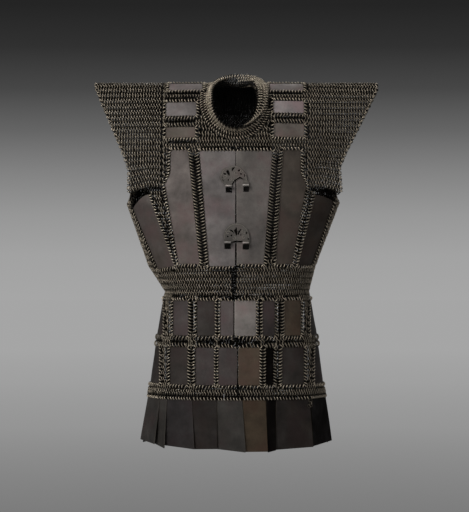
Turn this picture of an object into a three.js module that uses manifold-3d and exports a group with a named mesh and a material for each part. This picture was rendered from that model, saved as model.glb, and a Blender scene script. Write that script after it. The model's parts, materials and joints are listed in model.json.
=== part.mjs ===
// A sleeved coat of brass mail and plates, open down the front and closed by two clasps.
// Millimetres, +Z up. The front is -Y, and left and right are as seen from the front.
// The origin is the middle of the bar that the coat hangs on, under the ridge of its shoulders.
// Heights are given as drops, measured down from that ridge.

import * as THREE from 'three';
import { mergeVertices } from 'three/addons/utils/BufferGeometryUtils.js';
import Module from 'manifold-3d';

const wasm = await Module();
wasm.setup();
const { lerp, clamp } = THREE.MathUtils;

// Thicknesses and clearances
const mailThickness = 2.6;
const plateThickness = 1.4;
const plateInset = 0.6; // from the inner face of the mail to the inner face of a plate
const clearance = 0.3; // between pieces that touch in the real coat
const endGap = 0.9; // between the mail and the upper or lower end of a plate
const smallestDetail = 0.03; // finer detail left by the cutters is taken out
const overrun = 12; // how far a cutter passes beyond what it cuts
const windowReach = 6; // how far a plate's window reaches on each side of the mail
const frontGap = 2.5; // over the two fronts, which rise a little as they open
const linkPitch = 6.5; // from one row of links to the next
const linkGroove = 0.9; // how deep the grooves between rows of links are
const rowsPerRidge = 2; // rows of links that share a ridge on the body
const shoulderRowsPerRidge = 3; // and on the shoulders and sleeves

// Heights of the coat's zones, from the ridge of the shoulders down to the hem
const yokeDrop = 148;
const chestHeight = 253;
const waistHeight = 58;
const beltHeight = 15;
const tierOneHeight = 80;
const tierStripHeight = 25;
const tierTwoHeight = 82;
const hemStripHeight = 31;
const chestDrop = yokeDrop + chestHeight;
const waistDrop = chestDrop + waistHeight;
const beltDrop = waistDrop + beltHeight;
const tierOneDrop = beltDrop + tierOneHeight;
const tierTwoTopDrop = tierOneDrop + tierStripHeight;
const tierTwoDrop = tierTwoTopDrop + tierTwoHeight;
const skirtDrop = tierTwoDrop + hemStripHeight;
const chestAt = (share) => yokeDrop + share * chestHeight;

// The body of the coat, as shares of half its width and of half its depth at the top of the chest
const halfWidth = 200;
const halfDepth = 100;
const bustShare = 0.45; // of the chest's height, where the coat is widest
const bodyRoundness = 2.2;
const bodyLevelShares = [
  { drop: yokeDrop, left: 1.06, right: 1.06, front: 1, back: 0.92 },
  { drop: chestAt(bustShare), left: 1.195, right: 1.13, front: 1.06, back: 1 },
  { drop: chestDrop, left: 0.95, right: 0.865, front: 1.13, back: 0.98 },
  { drop: waistDrop, left: 0.76, right: 0.79, front: 1.16, back: 0.94 },
  { drop: beltDrop, left: 0.795, right: 0.82, front: 1.17, back: 0.96 },
  { drop: tierOneDrop, left: 0.865, right: 0.89, front: 1.21, back: 1.06 },
  { drop: tierTwoDrop, left: 0.94, right: 0.96, front: 1.26, back: 1.14 },
  { drop: skirtDrop, left: 0.97, right: 0.99, front: 1.28, back: 1.18 },
];

// Folds of the skirt: places across it, as shares of half the width, and how far the front stands
// out there, as shares of the deepest fold
const foldDepth = 11;
const foldShares = [
  [-0.75, 0], [-0.505, -0.27], [-0.45, 0.27], [-0.2175, -0.27], [-0.195, -0.09], [0.265, 0.36],
  [0.2775, 0.18], [0.43, -1], [0.485, -0.36], [0.755, 0],
];

// Shoulders and sleeves
const ridgeHalf = 14; // half the flat top that the bar carries
const ridgeShare = 0.1; // of the way from the ridge to a hem, taken by that flat half
const sleeveCurveShare = 0.62; // of the same way, where a sleeve starts to hang straight
const seamShare = 0.8; // of half the width, where a sleeve is joined to the shoulder
const seamX = seamShare * halfWidth;
const sleeveReach = 312;
const sleeveDrop = 230; // at the seam
const cuffDepth = 34; // half the depth of a sleeve at its outer end

// Edges of the sleeves: shares of the sleeve's drop with shares of its reach, or for the hem and
// the armpit shares of the way from seam to cuff with shares of the sleeve's drop
const leftCuffShares = [[0, -0.9968], [0.0304, -0.9968], [0.8, -0.7564], [1.061, -0.7596]];
const rightCuffShares = [[0, 1.0032], [0.061, 1.0032], [0.7826, 0.734], [0.9913, 0.7468], [1.087, 0.7244]];
const sleeveHemShares = [[0, 1], [0.217, 0.9957], [0.5066, 1.061]];
const armpitShares = [[0, 1.035], [0.1974, 1.048], [1, 1.287]];

// Neck opening and stand-up collar
const neckHalfWidth = 50; // at the rim
const neckSpread = 9; // how much wider the collar is at its foot
const neckFrontDrop = 104;
const neckBackShare = 0.14; // of the way from the ridge to the back hem
const neckEase = 0.02; // how softly the opening turns at the back
const neckReach = 30; // how far its cutter passes beyond the mail
const neckSides = 32;
const collarHeights = { back: 25, side: 15, front: 19 };
const collarThickness = 4;
const collarGap = 0.6; // between the yoke and the foot of the collar
const collarSlit = 3;
const neckFoot = neckHalfWidth + neckSpread;

// Front opening, as drops with shares of half the width: the free edges of the two fronts, and the
// seams where they bend out of the body
const slitKink = 9; // below the chest, where the slit turns aside
const leftFreeEdgeShares = [
  [yokeDrop, -0.0035], [chestDrop, -0.01], [chestDrop + slitKink, -0.0275], [beltDrop, -0.026],
  [tierOneDrop, -0.026], [tierTwoTopDrop, 0.0135], [skirtDrop, 0.0135],
];
const rightFreeEdgeShares = [
  [yokeDrop, 0.0035], [chestDrop, 0.01], [chestDrop + slitKink, 0.0075], [beltDrop, -0.014],
  [tierOneDrop, -0.014], [tierTwoTopDrop, 0.0265], [skirtDrop, 0.0265],
];
const leftSeamShares = [
  [yokeDrop, -0.46], [chestDrop, -0.3425], [beltDrop, -0.2215], [tierOneDrop, -0.2215],
  [tierTwoTopDrop, -0.2315], [skirtDrop, -0.2315],
];
const rightSeamShares = [
  [yokeDrop, 0.455], [chestDrop, 0.36], [beltDrop, 0.2815], [tierOneDrop, 0.2815],
  [tierTwoTopDrop, 0.3115], [skirtDrop, 0.3115],
];

// The fronts hinge about straight lines a little way before the mail
const hingeStandOff = 8;
const leftHingeShares = { top: -0.46, bottom: -0.205 };
const rightHingeShares = { top: 0.44, bottom: 0.27 };

// Chest and back plates: the drops of their ends, and their edges as drops with shares of half the
// width
const torsoTop = yokeDrop + clearance;
const frontTop = yokeDrop + frontGap;
const footGap = 3; // from the foot of the plates to the waist mail
const plateFoot = chestDrop - footGap;
const leftCentreReach = 5; // how far the left centre plate goes below the others
const sideReach = { outer: 11, inner: 4.6, right: 2 }; // and the side plates
const backPlateGap = 17; // from the yoke to the back plates
const backPlateTop = yokeDrop + backPlateGap;
const underArm = (share) => lerp(sleeveDrop, chestDrop, share);
const breastEnds = { top: [torsoTop, torsoTop], bottom: [plateFoot, plateFoot], openTop: true };
const centreEnds = { ...breastEnds, top: [frontTop, frontTop] };
const backEnds = { side: 'back', top: [backPlateTop, backPlateTop], bottom: [plateFoot, plateFoot] };
const leftCentreFoot = plateFoot + leftCentreReach;
const leftSideEnds = {
  top: [underArm(0.263), underArm(0.082)],
  bottom: [plateFoot + sideReach.outer, plateFoot + sideReach.inner],
};
const rightSideFoot = plateFoot + sideReach.right;
const rightSideEnds = { top: [underArm(0.091), underArm(0.17)], bottom: [rightSideFoot, rightSideFoot] };
const chestPlates = [
  {
    name: 'left_centre_plate', front: 'left', ...centreEnds, bottom: [leftCentreFoot, leftCentreFoot],
    leftShares: [[yokeDrop, -0.4], [chestDrop, -0.2915]], rightShares: leftFreeEdgeShares, openRight: true,
  },
  {
    name: 'right_centre_plate', front: 'right', ...centreEnds,
    leftShares: rightFreeEdgeShares, rightShares: [[yokeDrop, 0.4], [chestDrop, 0.3025]], openLeft: true,
  },
  {
    name: 'left_breast_plate', ...breastEnds,
    leftShares: [
      [yokeDrop, -0.71], [chestAt(0.205), -0.7175], [chestAt(0.296), -0.775], [plateFoot, -0.6225],
    ],
    rightShares: [[yokeDrop, -0.5215], [plateFoot, -0.3925]],
  },
  {
    name: 'right_breast_plate', ...breastEnds,
    leftShares: [[yokeDrop, 0.516], [plateFoot, 0.431]],
    rightShares: [
      [yokeDrop, 0.705], [chestAt(0.205), 0.7115], [chestAt(0.304), 0.77], [plateFoot, 0.61],
    ],
  },
  {
    name: 'left_side_plate', ...leftSideEnds,
    leftShares: [[leftSideEnds.top[0], -1.1275], [leftSideEnds.bottom[0], -0.847]],
    rightShares: [[leftSideEnds.top[1], -0.9535], [leftSideEnds.bottom[1], -0.662]],
  },
  {
    name: 'right_side_plate', ...rightSideEnds,
    leftShares: [[rightSideEnds.top[0], 0.869], [rightSideFoot, 0.6665]],
    rightShares: [[rightSideEnds.top[1], 1.07], [rightSideFoot, 0.824]],
  },
  {
    name: 'left_back_plate', ...backEnds,
    leftShares: [[backPlateTop, -0.06], [plateFoot, -0.05]],
    rightShares: [[backPlateTop, -0.64], [plateFoot, -0.56]],
  },
  {
    name: 'right_back_plate', ...backEnds,
    leftShares: [[backPlateTop, 0.64], [plateFoot, 0.56]],
    rightShares: [[backPlateTop, 0.06], [plateFoot, 0.05]],
  },
];

// Plates of the two tiers; an edge is a share of half the width, or follows a seam or a free edge
const tierTopGap = 3; // from the belt to the first tier
const tierOneTop = beltDrop + tierTopGap;
const tierOneEnds = { top: [tierOneTop, tierOneTop], bottom: [tierOneDrop, tierOneDrop] };
const tierTwoEnds = { top: [tierTwoTopDrop, tierTwoTopDrop], bottom: [tierTwoDrop, tierTwoDrop] };
const leftDoor = { front: 'left', rightShares: leftFreeEdgeShares, openRight: true };
const rightDoor = { front: 'right', leftShares: rightFreeEdgeShares, openLeft: true };
const byLeftDoor = { rightShares: leftSeamShares, openRight: true, rightGap: -clearance };
const byRightDoor = { leftShares: rightSeamShares, openLeft: true, leftGap: clearance };
const toLeft = { leftSide: 'back' };
const toRight = { rightSide: 'back' };
const skirtPlates = [
  { name: 'tier_one_plate_1', leftShares: -0.68, rightShares: -0.515, ...tierOneEnds },
  { name: 'tier_one_plate_2', leftShares: -0.42, ...byLeftDoor, ...tierOneEnds },
  { name: 'tier_one_plate_3', leftShares: -0.17, ...leftDoor, ...tierOneEnds },
  { name: 'tier_one_plate_4', rightShares: 0.22, ...rightDoor, ...tierOneEnds },
  { name: 'tier_one_plate_5', rightShares: 0.42, ...byRightDoor, ...tierOneEnds },
  { name: 'tier_one_plate_6', leftShares: 0.525, rightShares: 0.705, ...tierOneEnds },
  { name: 'tier_one_left_side_plate', leftShares: -0.75, rightShares: -0.785, ...toLeft, ...tierOneEnds },
  { name: 'tier_one_right_side_plate', leftShares: 0.805, rightShares: 0.765, ...toRight, ...tierOneEnds },
  { name: 'tier_two_plate_1', leftShares: -0.715, rightShares: -0.5225, ...tierTwoEnds },
  { name: 'tier_two_plate_2', leftShares: -0.4375, ...byLeftDoor, ...tierTwoEnds },
  { name: 'tier_two_plate_3', leftShares: -0.19, ...leftDoor, ...tierTwoEnds },
  { name: 'tier_two_plate_4', rightShares: 0.26, ...rightDoor, ...tierTwoEnds },
  { name: 'tier_two_plate_5', rightShares: 0.405, ...byRightDoor, ...tierTwoEnds },
  { name: 'tier_two_plate_6', leftShares: 0.4975, rightShares: 0.74, ...tierTwoEnds },
  { name: 'tier_two_left_side_plate', leftShares: -0.8, rightShares: -0.825, ...toLeft, ...tierTwoEnds },
  { name: 'tier_two_right_side_plate', leftShares: 0.85, rightShares: 0.815, ...toRight, ...tierTwoEnds },
];

// Plates across the shoulders, three a side before the ridge and one behind it: shares of the way
// from the neck to the sleeve, and of the yoke's drop
const leftShoulder = { sign: -1, side: 'front' };
const rightShoulder = { sign: 1, side: 'front' };
const backShoulderShares = { side: 'back', inner: 0.14, outer: 0.87, top: 0.095, bottom: 0.42 };
const shoulderPlateShares = [
  { name: 'left_shoulder_plate_1', ...leftShoulder, inner: 0.14, outer: 0.87, top: 0.003, bottom: 0.115 },
  { name: 'left_shoulder_plate_2', ...leftShoulder, inner: 0.267, outer: 0.93, top: 0.29, bottom: 0.5 },
  { name: 'left_shoulder_plate_3', ...leftShoulder, inner: 0.287, outer: 0.93, top: 0.66, bottom: 0.825 },
  { name: 'right_shoulder_plate_1', ...rightShoulder, inner: 0.15, outer: 0.89, top: 0.003, bottom: 0.115 },
  { name: 'right_shoulder_plate_2', ...rightShoulder, inner: 0.228, outer: 0.89, top: 0.27, bottom: 0.453 },
  { name: 'right_shoulder_plate_3', ...rightShoulder, inner: 0.238, outer: 0.89, top: 0.608, bottom: 0.81 },
  { name: 'left_shoulder_back_plate', sign: -1, ...backShoulderShares },
  { name: 'right_shoulder_back_plate', sign: 1, ...backShoulderShares },
];

// Tabs that carry the clasps, each bent out of a square hole in a centre plate
const tabWidth = 15;
const tabLength = 12;
const tabThickness = 2;
const tabHoleHeight = 14;
const tabRoot = 1; // how far a tab is let into its plate
const upperTabDropShare = 0.2964; // of the chest's height
const lowerTabDropShare = 0.7945;
const upperTabShares = { left: -0.08, right: 0.115 }; // of half the width
const lowerTabShares = { left: -0.0875, right: 0.12 };

// Clasps: pierced half-oval plaques on two legs
const claspThickness = 2;
const claspStandOff = 2; // from the centre plates to the back of a clasp
const claspLegWidth = 12;
const claspLap = 4; // how far a leg reaches up behind the plaque's lower edge
const claspHalfWidth = 27;
const claspHeight = 33;
const claspLift = 4; // from the tabs to the plaque's lower edge
const claspHoleRadius = 2.6;
const claspHoleShare = 0.62; // of the plaque's size, where the piercings lie
const claspHoleAngles = [25, 57, 90, 123, 155];
const upperClaspLean = 13; // degrees to the left

// Hem lames, one row of loose plates hung from the skirt: their ends as shares of half the width,
// their lengths as shares of one, and how far they spread to each side as shares of that too
const lameLength = 104;
const lameThickness = 1.4;
const lameDropGap = 0.5;
const lameCorner = 5;
const sideLameStart = 2; // degrees from the side of the body to the edge of a side lame
const frontLameShares = [
  { from: { side: 'left' }, to: { x: -0.85 }, long: 0.962, spread: [0.058, 0.077], flare: 8 },
  { from: { x: -0.825 }, to: { x: -0.75 }, long: 1.048, spread: [0, 0.019], flare: 7 },
  { from: { x: -0.725 }, to: { x: -0.48 }, long: 1.019, spread: [0.01, 0.019], flare: 4 },
  { from: { x: -0.455 }, to: { x: -0.21 }, long: 1.038, spread: [0, 0.01], flare: 4 },
  { from: { x: -0.19 }, to: { x: 0.055 }, long: 1.058, spread: [0.01, 0.038], flare: 3, front: 'left' },
  { from: { x: 0.085 }, to: { x: 0.31 }, long: 1.096, spread: [0, 0.01], flare: 3, front: 'right' },
  { from: { x: 0.335 }, to: { x: 0.42 }, long: 1.077, spread: [0, -0.019], flare: 3 },
  { from: { x: 0.455 }, to: { x: 0.79 }, long: 1.038, spread: [0.01, 0.01], flare: 4 },
  { from: { x: 0.82 }, to: { side: 'right' }, long: 0.952, spread: [0.019, 0.019], flare: 6 },
];
const backLameCount = 9;
const backLameGap = 4;
const backLameShare = { long: 1, spread: [0.01, 0.01], flare: 5 };

const degrees = Math.PI / 180;
const probe = 1e-4; // a share of a sheet, for finding which way its face looks
const shoulderColumns = steps(3);
const shoulderRows = steps(2);
const plateLayers = [plateInset, plateInset + plateThickness];
const windowLayers = [-windowReach, 0, mailThickness, mailThickness + windowReach];

// Straight-line reading of a list of [at, value] pairs, which runs on in line beyond its ends; a
// plain number holds everywhere
function readOn(pairs, at) {
  if (!Array.isArray(pairs)) return pairs;
  const last = pairs.length - 1;
  const next = pairs.findIndex(([place]) => place >= at);
  const k = Math.max(next < 0 ? last : next, 1);
  const [a0, v0] = pairs[k - 1];
  const [a1, v1] = pairs[k];
  return v0 + ((v1 - v0) * (at - a0)) / (a1 - a0);
}

// The same reading, held at its end values
function read(pairs, at) {
  return readOn(pairs, clamp(at, pairs[0][0], pairs[pairs.length - 1][0]));
}

const levelsOf = (key, size) => bodyLevelShares.map((level) => [level.drop, level[key] * size]);
const leftHalf = levelsOf('left', halfWidth);
const rightHalf = levelsOf('right', halfWidth);
const frontHalf = levelsOf('front', halfDepth);
const backHalf = levelsOf('back', halfDepth);

// Pairs of shares turned into lengths: the first of each pair by one size, the second by another
const scaled = (pairs, first, second) => pairs.map(([a, b]) => [a * first, b * second]);
const folds = scaled(foldShares, halfWidth, foldDepth);
const leftCuff = scaled(leftCuffShares, sleeveDrop, sleeveReach);
const rightCuff = scaled(rightCuffShares, sleeveDrop, sleeveReach);
const outAlongSleeve = (pairs) => pairs.map(([a, b]) => [lerp(seamX, sleeveReach, a), b * sleeveDrop]);
const sleeveHem = outAlongSleeve(sleeveHemShares);
const armpit = outAlongSleeve(armpitShares);

// An edge across the body in lengths, moved aside by a gap
function edgeOf(shares, gap = 0) {
  if (!Array.isArray(shares)) return shares * halfWidth + gap;
  return shares.map(([drop, share]) => [drop, share * halfWidth + gap]);
}
const leftSeam = edgeOf(leftSeamShares);
const rightSeam = edgeOf(rightSeamShares);
const leftFreeEdge = edgeOf(leftFreeEdgeShares);
const rightFreeEdge = edgeOf(rightFreeEdgeShares);

// How much of the folds shows at a drop: none at the belt, all at the foot of tier one
function foldShare(drop) {
  return clamp((drop - beltDrop) / (tierOneDrop - beltDrop), 0, 1);
}

// A point of the inner face of the body. The angle runs from the right side over the back to the
// left side and on over the front.
function bodyPoint(angle, drop) {
  const c = Math.cos(angle);
  const s = Math.sin(angle);
  const halfX = read(c < 0 ? leftHalf : rightHalf, drop);
  const halfY = read(s < 0 ? frontHalf : backHalf, drop);
  const power = 2 / bodyRoundness;
  const x = halfX * Math.sign(c) * Math.abs(c) ** power;
  const y = halfY * Math.sign(s) * Math.abs(s) ** power;
  const fold = s < 0 ? read(folds, x) * foldShare(drop) : 0;
  return new THREE.Vector3(x, y - fold, -drop);
}

// The angle at which the front or the back of the body is at x
function angleOf(side, x, drop) {
  const half = read(x < 0 ? leftHalf : rightHalf, drop);
  const share = Math.min(Math.abs(x) / half, 1);
  const turn = Math.asin(share ** (bodyRoundness / 2)) * Math.sign(x);
  return side === 'front' ? 1.5 * Math.PI + turn : 0.5 * Math.PI - turn;
}

// How deep the coat is before or behind the ridge, where the shoulders end
function shoulderDepth(x, side, drop) {
  const near = clamp(x, -seamX, seamX);
  const depth = Math.abs(bodyPoint(angleOf(side, near, drop), drop).y);
  const out = clamp((Math.abs(x) - seamX) / (sleeveReach - seamX), 0, 1);
  return lerp(depth, cuffDepth, out);
}

// A point of the inner face of the shoulders or a sleeve. The way runs from -1 at the front hem
// over 0 at the ridge to 1 at the back hem.
function shoulderPoint(x, way, hemDrop) {
  const side = way < 0 ? 'front' : 'back';
  const t = (Math.abs(way) - ridgeShare) / (1 - ridgeShare);
  if (t <= 0) return new THREE.Vector3(x, (way / ridgeShare) * ridgeHalf, 0);
  const curveShare = hemDrop > yokeDrop ? sleeveCurveShare : 1;
  const bend = Math.min(t / curveShare, 1) * 0.5 * Math.PI;
  const straight = Math.max(t - curveShare, 0) / (1 - sleeveCurveShare);
  const drop = yokeDrop * (1 - Math.cos(bend)) + straight * (hemDrop - yokeDrop);
  const depth = shoulderDepth(x, side, Math.max(drop, yokeDrop));
  const y = ridgeHalf + (depth - ridgeHalf) * Math.sin(bend);
  return new THREE.Vector3(x, Math.sign(way) * y, -drop);
}

// The way to a drop on the shoulders, which reach down to the yoke
function wayOf(side, drop) {
  const t = Math.acos(clamp(1 - drop / yokeDrop, -1, 1)) / (0.5 * Math.PI);
  const way = ridgeShare + t * (1 - ridgeShare);
  return side === 'front' ? -way : way;
}

// Evenly spaced shares from 0 to 1
function steps(count) {
  return Array.from({ length: count + 1 }, (_, k) => k / count);
}

// Which way the outer face of a sheet looks; an upright sheet is offset without leaving its x
function outward(place, u, v) {
  const across = place(u + probe, v).sub(place(u - probe, v));
  const upward = place(u, v + probe).sub(place(u, v - probe));
  const out = across.cross(upward);
  if (place.keepsX) out.setX(0);
  return out.normalize();
}
const keepX = (place) => Object.assign(place, { keepsX: true });

// A curved sheet through layers at rising offsets from the surface place(u, v), with u to the right
// and v up as seen from outside; grooves, where given, are how deep the outer face lies at each row
function sheet(place, us, vs, layers, grooves) {
  const box = new THREE.BoxGeometry(1, 1, 1, us.length - 1, vs.length - 1, layers.length - 1);
  const position = box.attributes.position;
  for (let k = 0; k < position.count; k++) {
    const u = us[Math.round((position.getX(k) + 0.5) * (us.length - 1))];
    const row = Math.round((position.getY(k) + 0.5) * (vs.length - 1));
    const v = vs[row];
    const layer = Math.round((position.getZ(k) + 0.5) * (layers.length - 1));
    const groove = grooves && layer > 0 ? grooves[row] : 0;
    const point = place(u, v).addScaledVector(outward(place, u, v), layers[layer] - groove);
    position.setXYZ(k, point.x, point.y, point.z);
  }
  return box;
}

function toSolid(geometry) {
  const bare = geometry.clone();
  bare.deleteAttribute('normal');
  bare.deleteAttribute('uv');
  const merged = mergeVertices(bare);
  return new wasm.Manifold(new wasm.Mesh({
    numProp: 3,
    vertProperties: new Float32Array(merged.attributes.position.array),
    triVerts: new Uint32Array(merged.index.array),
  }));
}

function toGeometry(solid) {
  const mesh = solid.simplify(smallestDetail).getMesh();
  const geometry = new THREE.BufferGeometry();
  geometry.setAttribute('position', new THREE.BufferAttribute(new Float32Array(mesh.vertProperties), 3));
  geometry.setIndex(new THREE.BufferAttribute(new Uint32Array(mesh.triVerts), 1));
  return geometry;
}

// A patch of the body between a left and a right edge, each grown by a margin
function bodyPatch(spec, grow = {}) {
  const { top, bottom, side = 'front', leftSide = side, rightSide = side } = spec;
  const left = edgeOf(spec.leftShares, spec.leftGap);
  const right = edgeOf(spec.rightShares, spec.rightGap);
  const growLeft = (leftSide === 'front' ? 1 : -1) * (grow.left ?? 0);
  const growRight = (rightSide === 'front' ? 1 : -1) * (grow.right ?? 0);
  return (u, v) => {
    const drop = lerp(lerp(bottom[0], bottom[1], u), lerp(top[0], top[1], u), v);
    const leftAngle = angleOf(leftSide, readOn(left, drop) - growLeft, drop);
    const rightAngle = angleOf(rightSide, readOn(right, drop) + growRight, drop);
    const wrapped = rightAngle < leftAngle ? rightAngle + 2 * Math.PI : rightAngle;
    return bodyPoint(lerp(leftAngle, wrapped, u), drop);
  };
}

// A patch of the shoulders, grown by a margin on each side
function shoulderPatch({ sign, side, inner, outer, top, bottom }, grow = 0) {
  const near = sign * (lerp(neckFoot, seamX, inner) - grow);
  const far = sign * (lerp(neckFoot, seamX, outer) + grow);
  const looks = side === 'front' ? 1 : -1;
  const [left, right] = near * looks < far * looks ? [near, far] : [far, near];
  const growWay = (looks * grow) / yokeDrop;
  const low = wayOf(side, bottom * yokeDrop) - growWay;
  const high = wayOf(side, top * yokeDrop) + growWay;
  return keepX((u, v) => shoulderPoint(lerp(left, right, u), lerp(low, high, v), yokeDrop));
}

// How finely a plate is bent: the plates of the chest and of the sides more than those of the skirt
function gridOf({ top, side, leftSide, rightSide }) {
  const fine = top[0] < beltDrop;
  const round = side || leftSide || rightSide || fine;
  return { columns: steps(round ? 4 : 2), rows: steps(fine ? 3 : 1) };
}

// The opening that a plate leaves in the mail
function plateWindow(spec) {
  const margin = (open, gap) => (open ? overrun : gap);
  const grow = { left: margin(spec.openLeft, clearance), right: margin(spec.openRight, clearance) };
  const height = spec.bottom[0] - spec.top[0];
  const { columns, rows } = gridOf(spec);
  const grown = [-endGap / height, ...rows, 1 + margin(spec.openTop, endGap) / height];
  return toSolid(sheet(bodyPatch(spec, grow), columns, grown, windowLayers));
}

// An outline in the XZ plane, passed right through the coat from front to back
function throughCutter(points) {
  const shape = new THREE.Shape(points.map(([x, drop]) => new THREE.Vector2(x, -drop)));
  const depth = 2 * sleeveReach;
  const geometry = new THREE.ExtrudeGeometry(shape, { depth, bevelEnabled: false });
  geometry.rotateX(0.5 * Math.PI);
  geometry.translate(0, depth / 2, 0);
  return toSolid(geometry);
}

const materials = {
  mail: { color: 0x6b5f4a, roughness: 0.5, metalness: 0.85 },
  chest: { color: 0x6c625e, roughness: 0.55, metalness: 0.6 },
  skirt: { color: 0x4a403a, roughness: 0.6, metalness: 0.6 },
  clasp: { color: 0x7a746c, roughness: 0.45, metalness: 0.8 },
};

const coat = new THREE.Group();
function addPiece(name, geometry, look) {
  const mesh = new THREE.Mesh(geometry, new THREE.MeshStandardMaterial(materials[look]));
  mesh.name = name;
  coat.add(mesh);
}

const bodyPlates = [...chestPlates, ...skirtPlates];

// The frame of reference for a clasp and its tabs: on the outer face of the centre plates, with x to
// the right, y up and z outward
function claspFrame(x, drop) {
  const patch = (u, v) => bodyPoint(angleOf('front', u, drop - v), drop - v);
  const out = outward(patch, 0, 0);
  const right = new THREE.Vector3(1, 0, 0);
  const up = out.clone().cross(right).normalize();
  const origin = bodyPoint(angleOf('front', 0, drop), drop).addScaledVector(out, plateLayers[1]);
  return new THREE.Matrix4().makeBasis(right, up, out).setPosition(origin.x + x, origin.y, origin.z);
}

function boxBetween(low, high) {
  const size = high.map((value, k) => value - low[k]);
  const box = new THREE.BoxGeometry(...size);
  return box.translate(...low.map((value, k) => value + size[k] / 2));
}

// A centre plate with its two tabs, each over the hole that it was bent out of
function withTabs(plate, places) {
  let solid = plate;
  for (const { x, drop } of places) {
    const frame = claspFrame(x, drop);
    const half = tabWidth / 2;
    const tab = boxBetween([-half, -tabThickness, -tabRoot], [half, 0, tabLength]);
    const holeFoot = -tabThickness - tabHoleHeight;
    const hole = boxBetween([-half, holeFoot, -overrun], [half, -tabThickness, overrun + tabLength]);
    solid = solid.add(toSolid(tab.applyMatrix4(frame))).subtract(toSolid(hole.applyMatrix4(frame)));
  }
  return solid;
}

for (const spec of bodyPlates) {
  const { columns, rows } = gridOf(spec);
  const plate = sheet(bodyPatch(spec), columns, rows, plateLayers);
  const look = skirtPlates.includes(spec) ? 'skirt' : 'chest';
  if (spec.name.includes('centre')) {
    const places = [
      { x: upperTabShares[spec.front] * halfWidth, drop: chestAt(upperTabDropShare) },
      { x: lowerTabShares[spec.front] * halfWidth, drop: chestAt(lowerTabDropShare) },
    ];
    addPiece(spec.name, toGeometry(withTabs(toSolid(plate), places)), look);
  } else {
    addPiece(spec.name, plate, look);
  }
}

for (const spec of shoulderPlateShares) {
  const plate = sheet(shoulderPatch(spec), shoulderColumns, shoulderRows, plateLayers);
  addPiece(spec.name, plate, 'chest');
}

// A clasp, standing on the tabs with a clearance
function clasp(tabShares, drop, lean) {
  const tabs = [tabShares.left * halfWidth, tabShares.right * halfWidth];
  const middle = (tabs[0] + tabs[1]) / 2;
  const outline = new THREE.Shape().absellipse(0, 0, claspHalfWidth, claspHeight, 0, Math.PI);
  for (const angle of claspHoleAngles) {
    const x = claspHalfWidth * claspHoleShare * Math.cos(angle * degrees);
    const y = claspHeight * claspHoleShare * Math.sin(angle * degrees);
    outline.holes.push(new THREE.Path().absarc(x, y, claspHoleRadius, 0, 2 * Math.PI));
  }
  const options = { depth: claspThickness, bevelEnabled: false, curveSegments: 8 };
  const plaque = new THREE.ExtrudeGeometry(outline, options);
  const rise = Math.sin(lean * degrees);
  const lift = claspLift + claspHalfWidth * rise;
  plaque.rotateZ(lean * degrees).translate(0, lift, claspStandOff);
  let solid = toSolid(plaque);
  for (const x of tabs.map((place) => place - middle)) {
    const low = [x - claspLegWidth / 2, clearance, claspStandOff];
    const top = lift + x * rise + claspLap;
    const high = [x + claspLegWidth / 2, top, claspStandOff + claspThickness];
    solid = solid.add(toSolid(boxBetween(low, high)));
  }
  return toGeometry(solid).applyMatrix4(claspFrame(middle, drop));
}
addPiece('upper_clasp', clasp(upperTabShares, chestAt(upperTabDropShare), upperClaspLean), 'clasp');
addPiece('lower_clasp', clasp(lowerTabShares, chestAt(lowerTabDropShare), 0), 'clasp');

// Rows of links between two drops, as ridges with grooves between them: where the rows of the sheet
// lie and how deep its face is there
function linkRows(topDrop, bottomDrop) {
  const count = Math.max(Math.round((bottomDrop - topDrop) / linkPitch / rowsPerRidge), 1);
  return steps(2 * count).map((share, k) => ({
    drop: lerp(bottomDrop, topDrop, share),
    groove: k % 2 ? 0 : linkGroove,
  }));
}
const plain = (...drops) => drops.map((drop) => ({ drop, groove: 0 }));
const waistRows = linkRows(chestDrop + slitKink, beltDrop);
const skirtRows = [
  ...linkRows(tierTwoDrop, skirtDrop), ...plain(tierTwoDrop - overrun, tierTwoTopDrop + overrun),
  ...linkRows(tierOneDrop, tierTwoTopDrop), ...plain(tierOneDrop - overrun),
];

// A sheet of mail of the body with windows for its plates
function plateMail(spec, grow, rows, columns, plates) {
  const [topDrop] = spec.top;
  const [bottomDrop] = spec.bottom;
  const shares = rows.map(({ drop }) => (bottomDrop - drop) / (bottomDrop - topDrop));
  const grooves = rows.map(({ groove }) => groove);
  const net = sheet(bodyPatch(spec, grow), columns, shares, [0, mailThickness], grooves);
  return plates.reduce((solid, plate) => solid.subtract(plateWindow(plate)), toSolid(net));
}

// Mail of the two fronts, from the yoke to the hem
function frontMail(side, edges) {
  const spec = { ...edges, top: [frontTop, frontTop], bottom: [skirtDrop, skirtDrop] };
  const gap = -clearance / 2;
  const grow = side === 'left' ? { left: gap } : { right: gap };
  const rows = [
    ...skirtRows, ...plain(beltDrop + overrun), ...waistRows,
    ...plain(chestDrop, chestAt(0.68), chestAt(0.36), frontTop),
  ];
  const plates = bodyPlates.filter(({ front }) => front === side);
  return toGeometry(plateMail(spec, grow, rows, steps(5), plates));
}
const leftFront = { leftShares: leftSeamShares, rightShares: leftFreeEdgeShares };
const rightFront = { leftShares: rightFreeEdgeShares, rightShares: rightSeamShares };
addPiece('left_front_mail', frontMail('left', leftFront), 'mail');
addPiece('right_front_mail', frontMail('right', rightFront), 'mail');

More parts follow.
